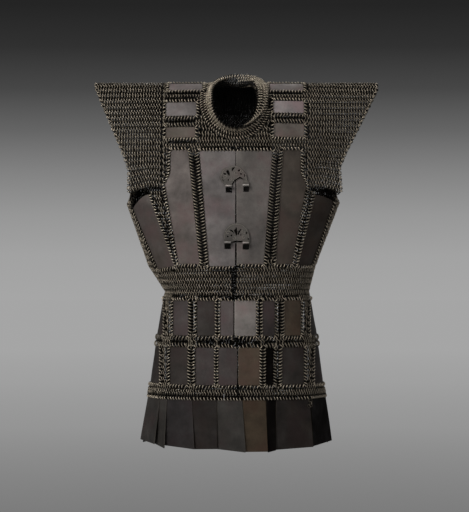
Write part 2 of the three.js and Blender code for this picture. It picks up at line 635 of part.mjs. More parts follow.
// Mail of the rest of the body, round the back from the right front to the left front
function bodyMail(topDrop, bottomDrop, rows, plates) {
  const edges = { leftShares: rightSeamShares, rightShares: leftSeamShares };
  const spec = { ...edges, top: [topDrop, topDrop], bottom: [bottomDrop, bottomDrop] };
  const grow = { left: -clearance / 2, right: -clearance / 2 };
  return plateMail(spec, grow, rows, steps(36), plates.filter(({ front }) => !front));
}
const torsoBottom = beltDrop - clearance;
const torsoRows = [
  ...linkRows(chestDrop + slitKink, torsoBottom),
  ...plain(chestDrop, chestAt(0.72), chestAt(bustShare), chestAt(0.225), torsoTop),
];
let torso = bodyMail(torsoTop, torsoBottom, torsoRows, chestPlates);
for (const sign of [-1, 1]) {
  const inner = sign * (seamX - clearance / 2);
  const edge = armpit.map(([x, drop]) => [sign * x, drop]);
  edge[0][0] = inner;
  const corners = [[inner, 0], ...edge, [sign * sleeveReach, 0]];
  torso = torso.subtract(throughCutter(corners));
}
addPiece('torso_mail', toGeometry(torso), 'mail');

const skirt = bodyMail(beltDrop, skirtDrop, [...skirtRows, ...plain(beltDrop)], skirtPlates);
addPiece('skirt_mail', toGeometry(skirt), 'mail');

// Yoke: the mail of the shoulders, with the neck opening
// A sheet of mail over the ridge of the shoulders, with a groove after every few rows of links
function linkedSheet(place, columns, hemDrop) {
  const rows = steps(4 * Math.round(hemDrop / linkPitch / shoulderRowsPerRidge));
  const grooves = rows.map((_, k) => (k % 2 ? 0 : linkGroove));
  return sheet(place, columns, rows, [0, mailThickness], grooves);
}

const yokeHalf = seamX - clearance / 2;
const yokePlace = keepX((u, v) => shoulderPoint(lerp(-yokeHalf, yokeHalf, u), 2 * v - 1, yokeDrop));

// The neck opening: a point on its edge at a turn from the back, widened at the foot of the collar
function neckEdge(turn, width) {
  const share = (1 - Math.cos(turn)) / 2;
  const low = Math.sqrt(neckEase);
  const eased = (Math.sqrt(share + neckEase) - low) / (Math.sqrt(1 + neckEase) - low);
  return { x: width * Math.sin(turn), way: lerp(neckBackShare, wayOf('front', neckFrontDrop), eased) };
}
const yokeSurface = keepX((x, way) => shoulderPoint(x, way, yokeDrop));
function overYoke({ x, way }, height) {
  return yokeSurface(x, way).addScaledVector(outward(yokeSurface, x, way), height);
}
function neckCutter() {
  const disc = new THREE.CylinderGeometry(1, 1, 1, neckSides, 1);
  const position = disc.attributes.position;
  const middle = { x: 0, way: (neckBackShare + wayOf('front', neckFrontDrop)) / 2 };
  for (let k = 0; k < position.count; k++) {
    const across = position.getX(k);
    const back = -position.getZ(k);
    const inMiddle = Math.abs(across) + Math.abs(back) < probe;
    const edge = neckEdge(Math.atan2(across, back), neckFoot);
    const height = position.getY(k) < 0 ? -neckReach : neckReach;
    const point = overYoke(inMiddle ? middle : edge, height);
    position.setXYZ(k, point.x, point.y, point.z);
  }
  return toSolid(disc);
}
let yoke = toSolid(linkedSheet(yokePlace, steps(10), yokeDrop));
yoke = yoke.subtract(neckCutter());
for (const spec of shoulderPlateShares) {
  const place = shoulderPatch(spec, clearance);
  const window = sheet(place, shoulderColumns, shoulderRows, windowLayers);
  yoke = yoke.subtract(toSolid(window));
}
addPiece('yoke_mail', toGeometry(yoke), 'mail');

// The collar stands on the yoke round the opening, with a slit at the front
const collarTurns = [
  [0, collarHeights.back], [0.5 * Math.PI, collarHeights.side], [Math.PI, collarHeights.front],
];
const slitTurn = Math.PI - collarSlit / (2 * neckFoot);
function collarPlace(u, v) {
  const turn = lerp(slitTurn, -slitTurn, u);
  const height = read(collarTurns, Math.abs(turn));
  const edge = neckEdge(turn, neckHalfWidth + (1 - v) * neckSpread);
  return overYoke(edge, mailThickness + collarGap + v * height);
}
addPiece('collar_mail', sheet(collarPlace, steps(neckSides), steps(2), [0, collarThickness]), 'mail');

// Sleeves: flat tubes, open at the cuff and under the arm
function sleeve(sign, cuff) {
  const place = keepX((u, v) => {
    const way = 2 * v - 1;
    const start = sign * (seamX + clearance / 2);
    const share = sign > 0 ? u : 1 - u;
    const rough = lerp(start, read(cuff, read(sleeveHem, seamX)), share);
    const hemDrop = read(sleeveHem, Math.abs(rough));
    const drop = -shoulderPoint(rough, way, hemDrop).z;
    return shoulderPoint(lerp(start, read(cuff, drop), share), way, hemDrop);
  });
  return toGeometry(toSolid(linkedSheet(place, steps(6), sleeveDrop)));
}
addPiece('left_sleeve_mail', sleeve(-1, leftCuff), 'mail');
addPiece('right_sleeve_mail', sleeve(1, rightCuff), 'mail');

// Hem lames
const lameFrames = [];
function lame(name, start, end, { long, spread, flare, front }) {
  const length = long * lameLength;
  const spreadLeft = spread[0] * lameLength;
  const spreadRight = spread[1] * lameLength;
  const right = end.clone().sub(start);
  const width = right.length();
  right.normalize();
  const lean = flare * degrees;
  const level = right.clone().cross(new THREE.Vector3(0, 0, 1));
  const up = new THREE.Vector3(0, 0, Math.cos(lean)).addScaledVector(level, -Math.sin(lean));
  const out = right.clone().cross(up);
  const outline = new THREE.Shape()
    .moveTo(0, 0)
    .lineTo(-spreadLeft, -length + lameCorner)
    .quadraticCurveTo(-spreadLeft, -length, -spreadLeft + lameCorner, -length)
    .lineTo(width + spreadRight - lameCorner, -length)
    .quadraticCurveTo(width + spreadRight, -length, width + spreadRight, -length + lameCorner)
    .lineTo(width, 0);
  const options = { depth: lameThickness, bevelEnabled: false, curveSegments: 3 };
  const corner = start.clone().addScaledVector(level, plateInset);
  corner.z = -skirtDrop - lameDropGap;
  const frame = new THREE.Matrix4().makeBasis(right, up, out).setPosition(corner);
  addPiece(name, new THREE.ExtrudeGeometry(outline, options).applyMatrix4(frame), 'skirt');
  const hinge = corner.clone().addScaledVector(out, lameThickness);
  const parent = front ? `${front}_front` : 'root';
  lameFrames.push({ name, parent, point: hinge.addScaledVector(right, width / 2), axis: right });
}

function lameEnd({ x, side }, turn) {
  if (side === 'left') return bodyPoint(Math.PI + turn, skirtDrop);
  if (side === 'right') return bodyPoint(2 * Math.PI - turn, skirtDrop);
  return bodyPoint(angleOf('front', x * halfWidth, skirtDrop), skirtDrop);
}
const twoDigits = (number) => String(number).padStart(2, '0');
frontLameShares.forEach((spec, k) => {
  const turn = sideLameStart * degrees;
  lame(`hem_lame_${twoDigits(k + 1)}`, lameEnd(spec.from, turn), lameEnd(spec.to, turn), spec);
});

// The back lames share the way round the back evenly
const backSteps = steps(240).map((share) => bodyPoint(share * Math.PI, skirtDrop));
const backWays = [0];
for (let k = 1; k < backSteps.length; k++) {
  backWays.push(backWays[k - 1] + backSteps[k].distanceTo(backSteps[k - 1]));
}
function backPoint(way) {
  const found = backWays.findIndex((value) => value >= way);
  const k = found < 0 ? backWays.length - 1 : Math.max(found, 1);
  const share = (way - backWays[k - 1]) / (backWays[k] - backWays[k - 1]);
  return backSteps[k - 1].clone().lerp(backSteps[k], share);
}
const backWay = backWays[backWays.length - 1];
const backPitch = (backWay + backLameGap) / backLameCount;
for (let k = 0; k < backLameCount; k++) {
  const start = backPoint(k * backPitch);
  const end = backPoint((k + 1) * backPitch - backLameGap);
  lame(`hem_lame_${twoDigits(frontLameShares.length + k + 1)}`, start, end, backLameShare);
}

// Where the pieces turn or slide, for whoever needs the axes: a point and a direction each
function frontHinge(shares) {
  const at = (share, drop) => {
    const point = bodyPoint(angleOf('front', share * halfWidth, drop), drop);
    return point.setY(point.y - mailThickness - hingeStandOff);
  };
  const top = at(shares.top, yokeDrop);
  const bottom = at(shares.bottom, skirtDrop);
  return { point: top.clone().lerp(bottom, 0.5), axis: top.sub(bottom).normalize() };
}
const claspSlide = (drop) => new THREE.Vector3().setFromMatrixColumn(claspFrame(0, drop), 2);
coat.userData.axes = {
  left_front: frontHinge(leftHingeShares),
  right_front: frontHinge(rightHingeShares),
  upper_clasp: claspSlide(chestAt(upperTabDropShare)),
  lower_clasp: claspSlide(chestAt(lowerTabDropShare)),
  lames: lameFrames,
};

export default coat;
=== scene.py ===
"""Looks of the coat of mail and plates: linked rings, let-in plates, clasps and hem lames.

Lengths are millimetres until a mesh is made, in metres, in the frame of the CAD model. Left and right
are as seen from the front, and a drop is a depth below the top of the shoulders.
"""

import json
import math

import bpy
import numpy as np
from mathutils import Matrix, Vector, noise

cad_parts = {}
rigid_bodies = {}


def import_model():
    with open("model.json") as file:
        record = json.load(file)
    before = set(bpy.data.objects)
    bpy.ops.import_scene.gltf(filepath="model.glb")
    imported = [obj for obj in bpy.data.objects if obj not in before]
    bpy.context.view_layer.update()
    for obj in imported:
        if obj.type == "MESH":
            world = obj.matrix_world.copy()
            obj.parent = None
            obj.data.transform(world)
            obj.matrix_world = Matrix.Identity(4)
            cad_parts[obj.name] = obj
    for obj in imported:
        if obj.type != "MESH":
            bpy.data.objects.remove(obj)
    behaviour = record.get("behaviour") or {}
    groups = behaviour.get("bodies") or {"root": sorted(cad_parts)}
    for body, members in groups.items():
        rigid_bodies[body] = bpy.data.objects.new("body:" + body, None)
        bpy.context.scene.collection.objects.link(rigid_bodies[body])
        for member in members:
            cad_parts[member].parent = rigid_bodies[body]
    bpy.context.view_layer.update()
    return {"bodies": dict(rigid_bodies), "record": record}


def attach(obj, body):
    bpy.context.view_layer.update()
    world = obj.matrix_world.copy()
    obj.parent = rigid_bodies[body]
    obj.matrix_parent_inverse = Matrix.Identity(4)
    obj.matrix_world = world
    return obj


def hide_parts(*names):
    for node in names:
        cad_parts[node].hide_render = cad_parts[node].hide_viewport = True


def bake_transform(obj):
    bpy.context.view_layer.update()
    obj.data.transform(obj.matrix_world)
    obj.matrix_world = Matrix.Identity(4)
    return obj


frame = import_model()
rng = np.random.default_rng(7)

MM = 0.001
TURN = 2 * math.pi
MAIL_THICK = 2.6
MID = MAIL_THICK / 2
PLATE_IN, PLATE_OUT = 0.6, 2.0
ROUNDNESS = 2.2

# The same body as the CAD model's: drop, half width left and right, depth front and back
LEVELS = np.array([
    (148, 212, 212, 100, 92), (262, 239, 226, 106, 100), (401, 190, 173, 113, 98),
    (459, 152, 158, 116, 94), (474, 159, 164, 117, 96), (554, 173, 178, 121, 106),
    (661, 188, 192, 126, 114), (692, 194, 198, 128, 118)], float)
FOLDS = np.array([
    (-150, 0), (-101, -3), (-90, 3), (-43.5, -3), (-39, -1), (53, 4), (55.5, 2), (86, -11), (97, -4),
    (151, 0)], float)
YOKE, CHEST, BELT, TIER1_TOP, TIER1, TIER2_TOP, TIER2, SKIRT = 148, 401, 474, 477, 554, 579, 661, 692
SEAM_X, SLEEVE_REACH, CUFF_DEPTH = 160, 312, 34
LEFT_CUFF = np.array([(0, -311), (7, -311), (184, -236), (244, -237)], float)
RIGHT_CUFF = np.array([(0, 313), (14, 313), (180, 229), (228, 233), (250, 226)], float)
SLEEVE_HEM = np.array([(SEAM_X, 230), (193, 229), (237, 244)], float)
ARMPIT = np.array([(SEAM_X, 238), (190, 241), (312, 296)], float)
LEFT_FREE = [(148, -0.7), (401, -2), (410, -5.5), (474, -5.2), (554, -5.2), (579, 2.7), (692, 2.7)]
RIGHT_FREE = [(148, 0.7), (401, 2), (410, 1.5), (474, -2.8), (554, -2.8), (579, 5.3), (692, 5.3)]
LEFT_SEAM = [(148, -92), (401, -68.5), (474, -44.3), (554, -44.3), (579, -46.3), (692, -46.3)]
RIGHT_SEAM = [(148, 91), (401, 72), (474, 56.3), (554, 56.3), (579, 62.3), (692, 62.3)]
NECK_HALF, NECK_SPREAD, NECK_FRONT, NECK_BACK, NECK_EASE = 50, 9, 104, 0.14, 0.02
RIDGE_HALF, RIDGE_SHARE, CURVE_SHARE = 14, 0.1, 0.62


def read(pairs, at):
    """Straight-line reading of (at, value) pairs that runs on in line beyond its ends."""
    if not isinstance(pairs, (list, tuple)):
        return np.full_like(np.asarray(at, float), pairs)
    xs, ys = np.array(pairs, float).T
    k = np.clip(np.searchsorted(xs, at), 1, len(xs) - 1)
    return ys[k - 1] + (ys[k] - ys[k - 1]) * (np.asarray(at, float) - xs[k - 1]) / (xs[k] - xs[k - 1])


def level(column, drop):
    return np.interp(drop, LEVELS[:, 0], LEVELS[:, column])


def body_point(angle, drop):
    """Points of the inner face of the body; the angle runs right, back, left, front."""
    angle, drop = np.broadcast_arrays(np.asarray(angle, float), np.asarray(drop, float))
    c, s = np.cos(angle), np.sin(angle)
    half_x = np.where(c < 0, level(1, drop), level(2, drop))
    half_y = np.where(s < 0, level(3, drop), level(4, drop))
    x = half_x * np.sign(c) * np.abs(c) ** (2 / ROUNDNESS)
    y = half_y * np.sign(s) * np.abs(s) ** (2 / ROUNDNESS)
    share = np.clip((drop - BELT) / (TIER1 - BELT), 0, 1)
    y = y - np.where(s < 0, np.interp(x, FOLDS[:, 0], FOLDS[:, 1]) * share, 0)
    return np.stack([x, y, -drop], -1)


def angle_of(side, x, drop):
    x = np.asarray(x, float)
    half = np.where(x < 0, level(1, drop), level(2, drop))
    turn = np.arcsin(np.minimum(np.abs(x) / half, 1) ** (ROUNDNESS / 2)) * np.sign(x)
    return 1.5 * math.pi + turn if side == "front" else 0.5 * math.pi - turn


def shoulder_point(x, way, hem=YOKE):
    """Points of the inner face of the shoulders; way runs from -1 at the front hem to 1 at the back."""
    x, way, hem = np.broadcast_arrays(np.asarray(x, float), np.asarray(way, float), np.asarray(hem, float))
    t = (np.abs(way) - RIDGE_SHARE) / (1 - RIDGE_SHARE)
    share = np.where(hem > YOKE, CURVE_SHARE, 1.0)
    bend = np.clip(t / share, 0, 1) * 0.5 * math.pi
    straight = np.clip(t - share, 0, None) / (1 - CURVE_SHARE)
    drop = YOKE * (1 - np.cos(bend)) + straight * (hem - YOKE)
    deep = np.maximum(drop, YOKE)
    near = np.clip(x, -SEAM_X, SEAM_X)
    front = np.abs(body_point(angle_of("front", near, deep), deep)[..., 1])
    back = np.abs(body_point(angle_of("back", near, deep), deep)[..., 1])
    out = np.clip((np.abs(x) - SEAM_X) / (SLEEVE_REACH - SEAM_X), 0, 1)
    depth = np.where(way < 0, front, back) * (1 - out) + CUFF_DEPTH * out
    y = np.where(t <= 0, way / RIDGE_SHARE * RIDGE_HALF,
                 np.sign(way) * (RIDGE_HALF + (depth - RIDGE_HALF) * np.sin(bend)))
    return np.stack([x, y, np.where(t <= 0, 0, -drop)], -1)


def front_angle(x, drop):
    return float(angle_of("front", x, drop))


def way_of(side, drop):
    t = math.acos(min(max(1 - drop / YOKE, -1), 1)) / (0.5 * math.pi)
    way = RIDGE_SHARE + t * (1 - RIDGE_SHARE)
    return -way if side == "front" else way


def unit(v):
    return v / np.maximum(np.linalg.norm(v, axis=-1, keepdims=True), 1e-9)


def run(path):
    """Length along a path up to each of its points."""
    return np.concatenate([[0], np.cumsum(np.linalg.norm(np.diff(path, axis=0), axis=1))])


def frames(surface, u, v, du=1e-3, dv=1e-3):
    """Points with their outward, rightward and upward directions."""
    across = surface(u + du, v) - surface(u - du, v)
    up = surface(u, v + dv) - surface(u, v - dv)
    out = unit(np.cross(across, up))
    across = unit(across)
    return surface(u, v), out, across, np.cross(out, across)


def body_frames(angle, drop):
    return frames(lambda a, height: body_point(a, -height), angle, np.full(len(angle), -drop), 1e-4, 0.5)


# Materials


class Nodes:
    """Short ways to add shader nodes to one tree; place is the coordinates that the textures lie in."""

    def __init__(self, owner, place="Object"):
        owner.use_nodes = True
        self.tree = owner.node_tree
        self.place = self.add("TexCoord", place)

    def feed(self, socket, value):
        """Links a socket to an output, or sets its number or colour."""
        if isinstance(value, bpy.types.NodeSocket):
            self.tree.links.new(value, socket)
        else:
            socket.default_value = (*value, 1) if socket.type == "RGBA" else value

    def add(self, kind, output=0, inputs=None, **settings):
        node = self.tree.nodes.new("ShaderNode" + kind)
        for key, value in settings.items():
            setattr(node, key, value)
        for key, value in (inputs or {}).items():
            self.feed(node.inputs[key], value)
        return node.outputs[output]

    def noise(self, scale, detail, roughness, at=None):
        return self.add("TexNoise", "Fac", {
            "Scale": scale, "Detail": detail, "Roughness": roughness, "Vector": at or self.place})

    def ramp(self, value, stops):
        output = self.add("ValToRGB", "Color", {"Fac": value})
        elements = output.node.color_ramp.elements
        while len(elements) < len(stops):
            elements.new(0.5)
        for element, (place, colour) in zip(elements, stops):
            element.position = place
            element.color = (*colour, 1)
        return output

    def mix(self, factor, a, b):
        return self.add("Mix", 2, {0: factor, 6: a, 7: b}, data_type="RGBA")

    def fit(self, value, low, high, to_low=0.0, to_high=1.0):
        """Maps low..high of a value to another range, clamped."""
        return self.add("MapRange", "Result", {
            "Value": value, "From Min": low, "From Max": high, "To Min": to_low, "To Max": to_high})

    def attribute(self, name):
        return self.add("Attribute", "Fac", attribute_name=name)


def new_material(name, metallic):
    material = bpy.data.materials.new(name)
    nodes = Nodes(material)
    shader = material.node_tree.nodes["Principled BSDF"]
    shader.inputs["Metallic"].default_value = metallic
    return material, nodes, shader


def dress(nodes, shader, colour, rough, height, strength, distance):
    """Gives a shader its colour, its roughness and a bump."""
    bump = nodes.add("Bump", "Normal", {"Strength": strength, "Distance": distance, "Height": height})
    for key, value in (("Base Color", colour), ("Roughness", rough), ("Normal", bump)):
        nodes.feed(shader.inputs[key], value)


def plate_material(name, base, warm, tarnish, gloss=0.5, shine=0.0, rub=1.4):
    """Patinated brass sheet: cloudy patina, brown blooms, speckle, rubbed edges and fine scratches; its
    inner face is painted near black as shade.
    """
    material, nodes, shader = new_material(name, 0.25)
    shader.inputs["Specular IOR Level"].default_value = gloss
    base = np.array(base)
    cloud = nodes.noise(22, 6, 0.62)
    colour = nodes.ramp(cloud, [(0.3, base * 0.62), (0.5, base), (0.7, base * 1.4 + 0.004)])
    stretched = nodes.add("Mapping", inputs={"Scale": (1, 1, 0.12), "Vector": nodes.place})
    for amount, over in (
            (nodes.fit(nodes.noise(9, 5, 0.6), 0.5, 0.74, 0.0, tarnish), warm),
            (nodes.fit(nodes.noise(17, 4, 0.6), 0.48, 0.66, 0.0, 0.75), base * (1.12, 0.88, 0.92)),
            (nodes.fit(nodes.noise(420, 3, 0.6), 0.6, 0.75, 0.0, 0.55), base * 0.45),
            (nodes.fit(nodes.noise(700, 2, 0.5, stretched), 0.62, 0.8, 0.0, 0.35), base * 1.7),
            (nodes.fit(nodes.attribute("rim"), 0.0, 1.0, 0.0, 0.6), base * rub + (0.010, 0.007, 0.002)),
            # painted shade: the inner face of the plate, inside the coat, goes near black
            (nodes.fit(nodes.attribute("hidden"), 0.2, 0.9, 0.0, 0.93), (0.006, 0.005, 0.004))):
        colour = nodes.mix(amount, colour, over)
    dress(nodes, shader, colour, nodes.fit(cloud, 0.3, 0.7, 0.72 - shine, 0.56 - shine),
          nodes.noise(150, 6, 0.65), 0.35, 0.0006)
    return material


def ring_material(name, dark, mid, light):
    """Drawn wire: dirt with painted shade, near black, on the inner side of each ring, worn brass with a
    painted highlight on the outer side, ring to ring tone.
    """
    material, nodes, shader = new_material(name, 0.75)
    wear = nodes.attribute("wear")
    both = nodes.mix(0.45, nodes.attribute("tone"), nodes.noise(16, 4, 0.6))
    colour = nodes.ramp(both, [(0.25, dark), (0.5, mid), (0.8, np.array(mid) * 1.5)])
    # painted highlight with wear: the outer side of each ring is mixed towards light brass
    colour = nodes.mix(nodes.fit(wear, 0.64, 0.96, 0.0, 0.9), colour, light)
    # painted shade with dirt: the inner side of each ring goes near black
    colour = nodes.mix(nodes.fit(wear, 0.3, 0.68, 0.98, 0.0), colour, np.array(dark) * 0.12)
    dress(nodes, shader, colour, nodes.fit(nodes.noise(300, 3, 0.5), 0.3, 0.7, 0.36, 0.56),
          nodes.noise(900, 3, 0.6), 0.25, 0.0002)
    return material


# Ground colour, colour of the blooms and their share, gloss, shine, and how light the edges are rubbed
LOOKS = {
    # painted shade: the right-hand copies of the centre, breast and side plates are darker, for the shade on
    # the coat's right side away from the key light
    "centre_left": ((0.130, 0.114, 0.108), (0.088, 0.070, 0.048), 0.4),
    "centre_right": ((0.112, 0.098, 0.088), (0.072, 0.058, 0.042), 0.4),
    "breast_left": ((0.104, 0.085, 0.075), (0.072, 0.056, 0.042), 0.4),
    "breast_right": ((0.060, 0.047, 0.036), (0.050, 0.034, 0.022), 0.6),
    "side": ((0.072, 0.060, 0.053), (0.048, 0.031, 0.02), 0.6, 0.4),
    "side_right": ((0.029, 0.022, 0.017), (0.045, 0.024, 0.012), 0.8, 0.3),
    "shoulder": ((0.180, 0.156, 0.147), (0.09, 0.075, 0.05), 0.35, 0.5, 0.05),
    "shoulder_left": ((0.079, 0.067, 0.062), (0.07, 0.058, 0.04), 0.35, 0.5, 0.05),
    "shoulder_right": ((0.250, 0.220, 0.212), (0.12, 0.10, 0.08), 0.3, 0.5, 0.08),
    "shoulder_warm": ((0.142, 0.120, 0.102), (0.09, 0.068, 0.042), 0.6, 0.5, 0.04),
    "shoulder_low": ((0.060, 0.047, 0.034), (0.08, 0.06, 0.036), 0.6, 0.5, 0.04),
    "tab": ((0.30, 0.275, 0.25), (0.2, 0.17, 0.13), 0.3, 0.5, 0.12),
    "clasp": ((0.092, 0.082, 0.071), (0.13, 0.115, 0.092), 0.6, 0.5, 0.03, 2.6),
    "tier_pale": ((0.200, 0.178, 0.162), (0.1, 0.08, 0.06), 0.4),
    "tier_grey": ((0.054, 0.044, 0.041), (0.052, 0.038, 0.03), 0.5, 0.35),
    "tier_rose": ((0.085, 0.070, 0.066), (0.06, 0.045, 0.036), 0.5, 0.4),
    "tier_dark": ((0.031, 0.0255, 0.022), (0.036, 0.025, 0.018), 0.6, 0.25),
    "tier_brown": ((0.078, 0.058, 0.040), (0.058, 0.031, 0.014), 0.8, 0.3),
    "shadowed": ((0.005, 0.004, 0.0035), (0.007, 0.005, 0.003), 0.6, 0.04),
    # painted shade in part: the lames are far darker than the chest plates, for their own dark brown and for
    # the light that falls off towards the hem
    "lame": ((0.021, 0.0175, 0.0155), (0.034, 0.024, 0.017), 0.5, 0.15),
    "lame_pale": ((0.038, 0.034, 0.030), (0.034, 0.024, 0.017), 0.5, 0.2),
    "lame_cool": ((0.025, 0.0215, 0.021), (0.030, 0.020, 0.016), 0.4, 0.2),
    "lame_brown": ((0.050, 0.034, 0.0195), (0.055, 0.031, 0.014), 0.8, 0.3),
}
SHEET = {name: plate_material(name, *look) for name, look in LOOKS.items()}
WIRE = ring_material("mail_rings", (0.020, 0.0165, 0.0125), (0.058, 0.048, 0.034), (0.66, 0.567, 0.44))

# Meshes and pieces


def mark(mesh, **values):
    """Gives each point of a mesh a number under each name, which the materials read."""
    for key, numbers in values.items():
        layer = mesh.attributes.new(key, "FLOAT", "POINT")
        layer.data.foreach_set("value", np.asarray(numbers, np.float32))


def new_mesh(name, points, faces, material, sharp=None, **marks):
    """A smooth mesh from points in millimetres; edges beyond an angle in degrees stay sharp."""
    mesh = bpy.data.meshes.new(name)
    mesh.from_pydata([tuple(p) for p in np.asarray(points) * MM], [], faces)
    mesh.polygons.foreach_set("use_smooth", np.ones(len(mesh.polygons), bool))
    mark(mesh, **marks)
    if sharp:
        mesh.set_sharp_from_angle(angle=math.radians(sharp))
    mesh.materials.append(material)
    return mesh


def put(name, mesh, body, nodes=(), blend=None):
    """Links a mesh as a piece of the object, riding on a body, or, when blend is given, left in place on no
    body.
    """
    obj = bpy.data.objects.new(name, mesh)
    bpy.context.scene.collection.objects.link(obj)
    if blend:
        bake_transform(obj)
    else:
        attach(obj, body)
    if nodes:
        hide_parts(*nodes)


# Rings: radius of the ring and of its wire, spacing along a row and between rows
RING_R, WIRE_R, PITCH, ROW = 3.9, 0.98, 6.05, 6.45
# Rings along the plates' edges, how far they reach over the plate and over the net, and how they lean
EDGE_R, EDGE_WIRE, EDGE_PITCH = 4.4, 1.05, 6.7
EDGE_IN, EDGE_OUT, EDGE_SLANT, EDGE_NOD = 2.2, 8.6, 0.45, 0.32
# Ordinary rings keep clear of edges, of narrow strips between two plates, and less so of corners
CLEAR, STRIP, CORNER_CLEAR = 10.4, 26.0, 5.5
# How far a ring may stand out, the faces round a ring and round its wire, and the rings in one piece
MOST_PROUD, MAJOR, MINOR, MOST_RINGS = 4.2, 12, 4, 1900
# How uneven rings are: out of round, turned, tipped, and out of place in rows, at edges, on the body
OUT_OF_ROUND, SWAY, SWAY_TIP, STRAY, EDGE_STRAY, BODY_STRAY = 0.06, 0.07, 0.06, 0.14, 0.15, 0.22


class Rings:
    """Collects the rings of one piece, or of a chain of pieces on one body."""

    def __init__(self):
        self.parts = []

    def add(self, centre, normal, out, radius=RING_R, wire=WIRE_R):
        n = len(centre)
        if n:
            self.parts.append((centre, normal, out, np.zeros(n) + radius, np.zeros(n) + wire))


def ring_mesh(name, centre, normal, out, radius, wire):
    """Wire rings, a little uneven and flattened where they would stand too proud."""
    n = len(centre)
    normal = unit(normal)
    e1 = unit(np.cross(normal, out))
    e2 = np.cross(normal, e1)
    flat = np.minimum(1, MOST_PROUD / radius)[:, None, None]
    big = np.arange(MAJOR) * 2 * math.pi / MAJOR
    small = (np.arange(MINOR) + 0.5) * 2 * math.pi / MINOR
    squash = 1 + rng.uniform(-OUT_OF_ROUND, OUT_OF_ROUND, (n, 1, 1))
    around = (np.cos(big)[None, :, None] * e1[:, None, :] * squash
              + np.sin(big)[None, :, None] * e2[:, None, :] * flat / squash)
    reach = radius[:, None, None] + wire[:, None, None] * np.cos(small)[None, None, :]
    height = wire[:, None, None] * np.sin(small)[None, None, :]
    middle = centre[:, None, None, :]
    points = middle + around[:, :, None, :] * reach[..., None] + normal[:, None, None, :] * height[..., None]
    # how far out each point lies on its ring; the material makes the outer side bright (wear and painted
    # highlight) and the inner side near black (dirt and painted shade)
    wear = 0.5 + 0.5 * np.einsum("nmkc,nc->nmk", points - middle, out) / (radius + wire)[:, None, None]
    tone = np.repeat(rng.uniform(0, 1, n), MAJOR * MINOR)
    i, j = np.meshgrid(np.arange(MAJOR), np.arange(MINOR), indexing="ij")
    i2, j2 = (i + 1) % MAJOR, (j + 1) % MINOR
    quad = np.stack([i * MINOR + j, i2 * MINOR + j, i2 * MINOR + j2, i * MINOR + j2], -1).reshape(-1, 4)
    faces = (np.arange(n)[:, None, None] * MAJOR * MINOR + quad[None]).reshape(-1, 4)
    mesh = bpy.data.meshes.new(name)
    mesh.vertices.add(n * MAJOR * MINOR)
    mesh.vertices.foreach_set("co", (points.reshape(-1) * MM).astype(np.float32))
    mesh.loops.add(faces.size)
    mesh.loops.foreach_set("vertex_index", faces.reshape(-1).astype(np.int32))
    mesh.polygons.add(len(faces))
    mesh.polygons.foreach_set("loop_start", np.arange(len(faces), dtype=np.int32) * 4)
    mesh.polygons.foreach_set("use_smooth", np.ones(len(faces), bool))
    mesh.update(calc_edges=True)
    mark(mesh, wear=wear.reshape(-1), tone=tone)
    side = math.ceil(math.sqrt(n))
    cell = np.stack([np.arange(n) % side, np.arange(n) // side], -1) / side
    u = np.stack([i, i + 1, i + 1, i], -1).reshape(-1, 4) / MAJOR
    v = np.stack([j, j, j + 1, j + 1], -1).reshape(-1, 4) / MINOR
    uv = cell[:, None, None, :] + (np.stack([u, v], -1) * 0.8 / side + 0.1 / side)[None]
    mesh.uv_layers.new(name="OFBake").data.foreach_set("uv", uv.reshape(-1).astype(np.float32))
    mesh.materials.append(WIRE)
    return mesh


def put_rings(name, rings, body, nodes=(), blend=None):
    arrays = [np.concatenate(column) for column in zip(*rings.parts)]
    count = len(arrays[0])
    parts = math.ceil(count / MOST_RINGS)
    for k in range(parts):
        piece = [a[count * k // parts:count * (k + 1) // parts] for a in arrays]
        label = name if parts == 1 else f"{name}_{k + 1}"
        put(label, ring_mesh(label, *piece), body, nodes, blend)


def way_round(row):
    """Rings lean one way or the other by rows."""
    return 1 if row % 2 else -1


def lean(out, across, up, sign, turn=0.62, tip=0.14):
    """The direction a ring faces: turned about the upright by turn, and tipped."""
    n = len(out)
    angle = sign * (turn + rng.normal(0, SWAY, n))
    nod = tip * np.sign(sign) + rng.normal(0, SWAY_TIP, n)
    return unit(out * np.cos(angle)[:, None] + across * np.sin(angle)[:, None] + up * nod[:, None])


def spread(length, row, pitch=PITCH):
    """Shares along an interval where the rings of a row sit; every other row sits half a pitch on."""
    count = int(round(length / pitch))
    if count < 1:
        return np.zeros(0)
    return (np.arange(count) + 0.5 + (0.25 if row % 2 else -0.25)) / count


def lay(rings, surface, u, v, row, height=MID):
    """Lays one row of rings on a surface at the parameters u and v."""
    point, out, across, up = frames(surface, u, v)
    jitter = rng.normal(0, STRAY, (len(u), 3))
    rings.add(point + out * height + jitter, lean(out, across, up, way_round(row)), out)


def intervals(holes, start, end):
    """The parts of start..end that no hole covers."""
    out, at = [], start
    for low, high in sorted(holes):
        if low > at:
            out.append((at, min(low, end)))
        at = max(at, high)
    if at < end:
        out.append((at, end))
    return [(a, b) for a, b in out if b > a]


# Plates, as in the CAD model: look, left and right edge, top and bottom, and the side each edge lies on

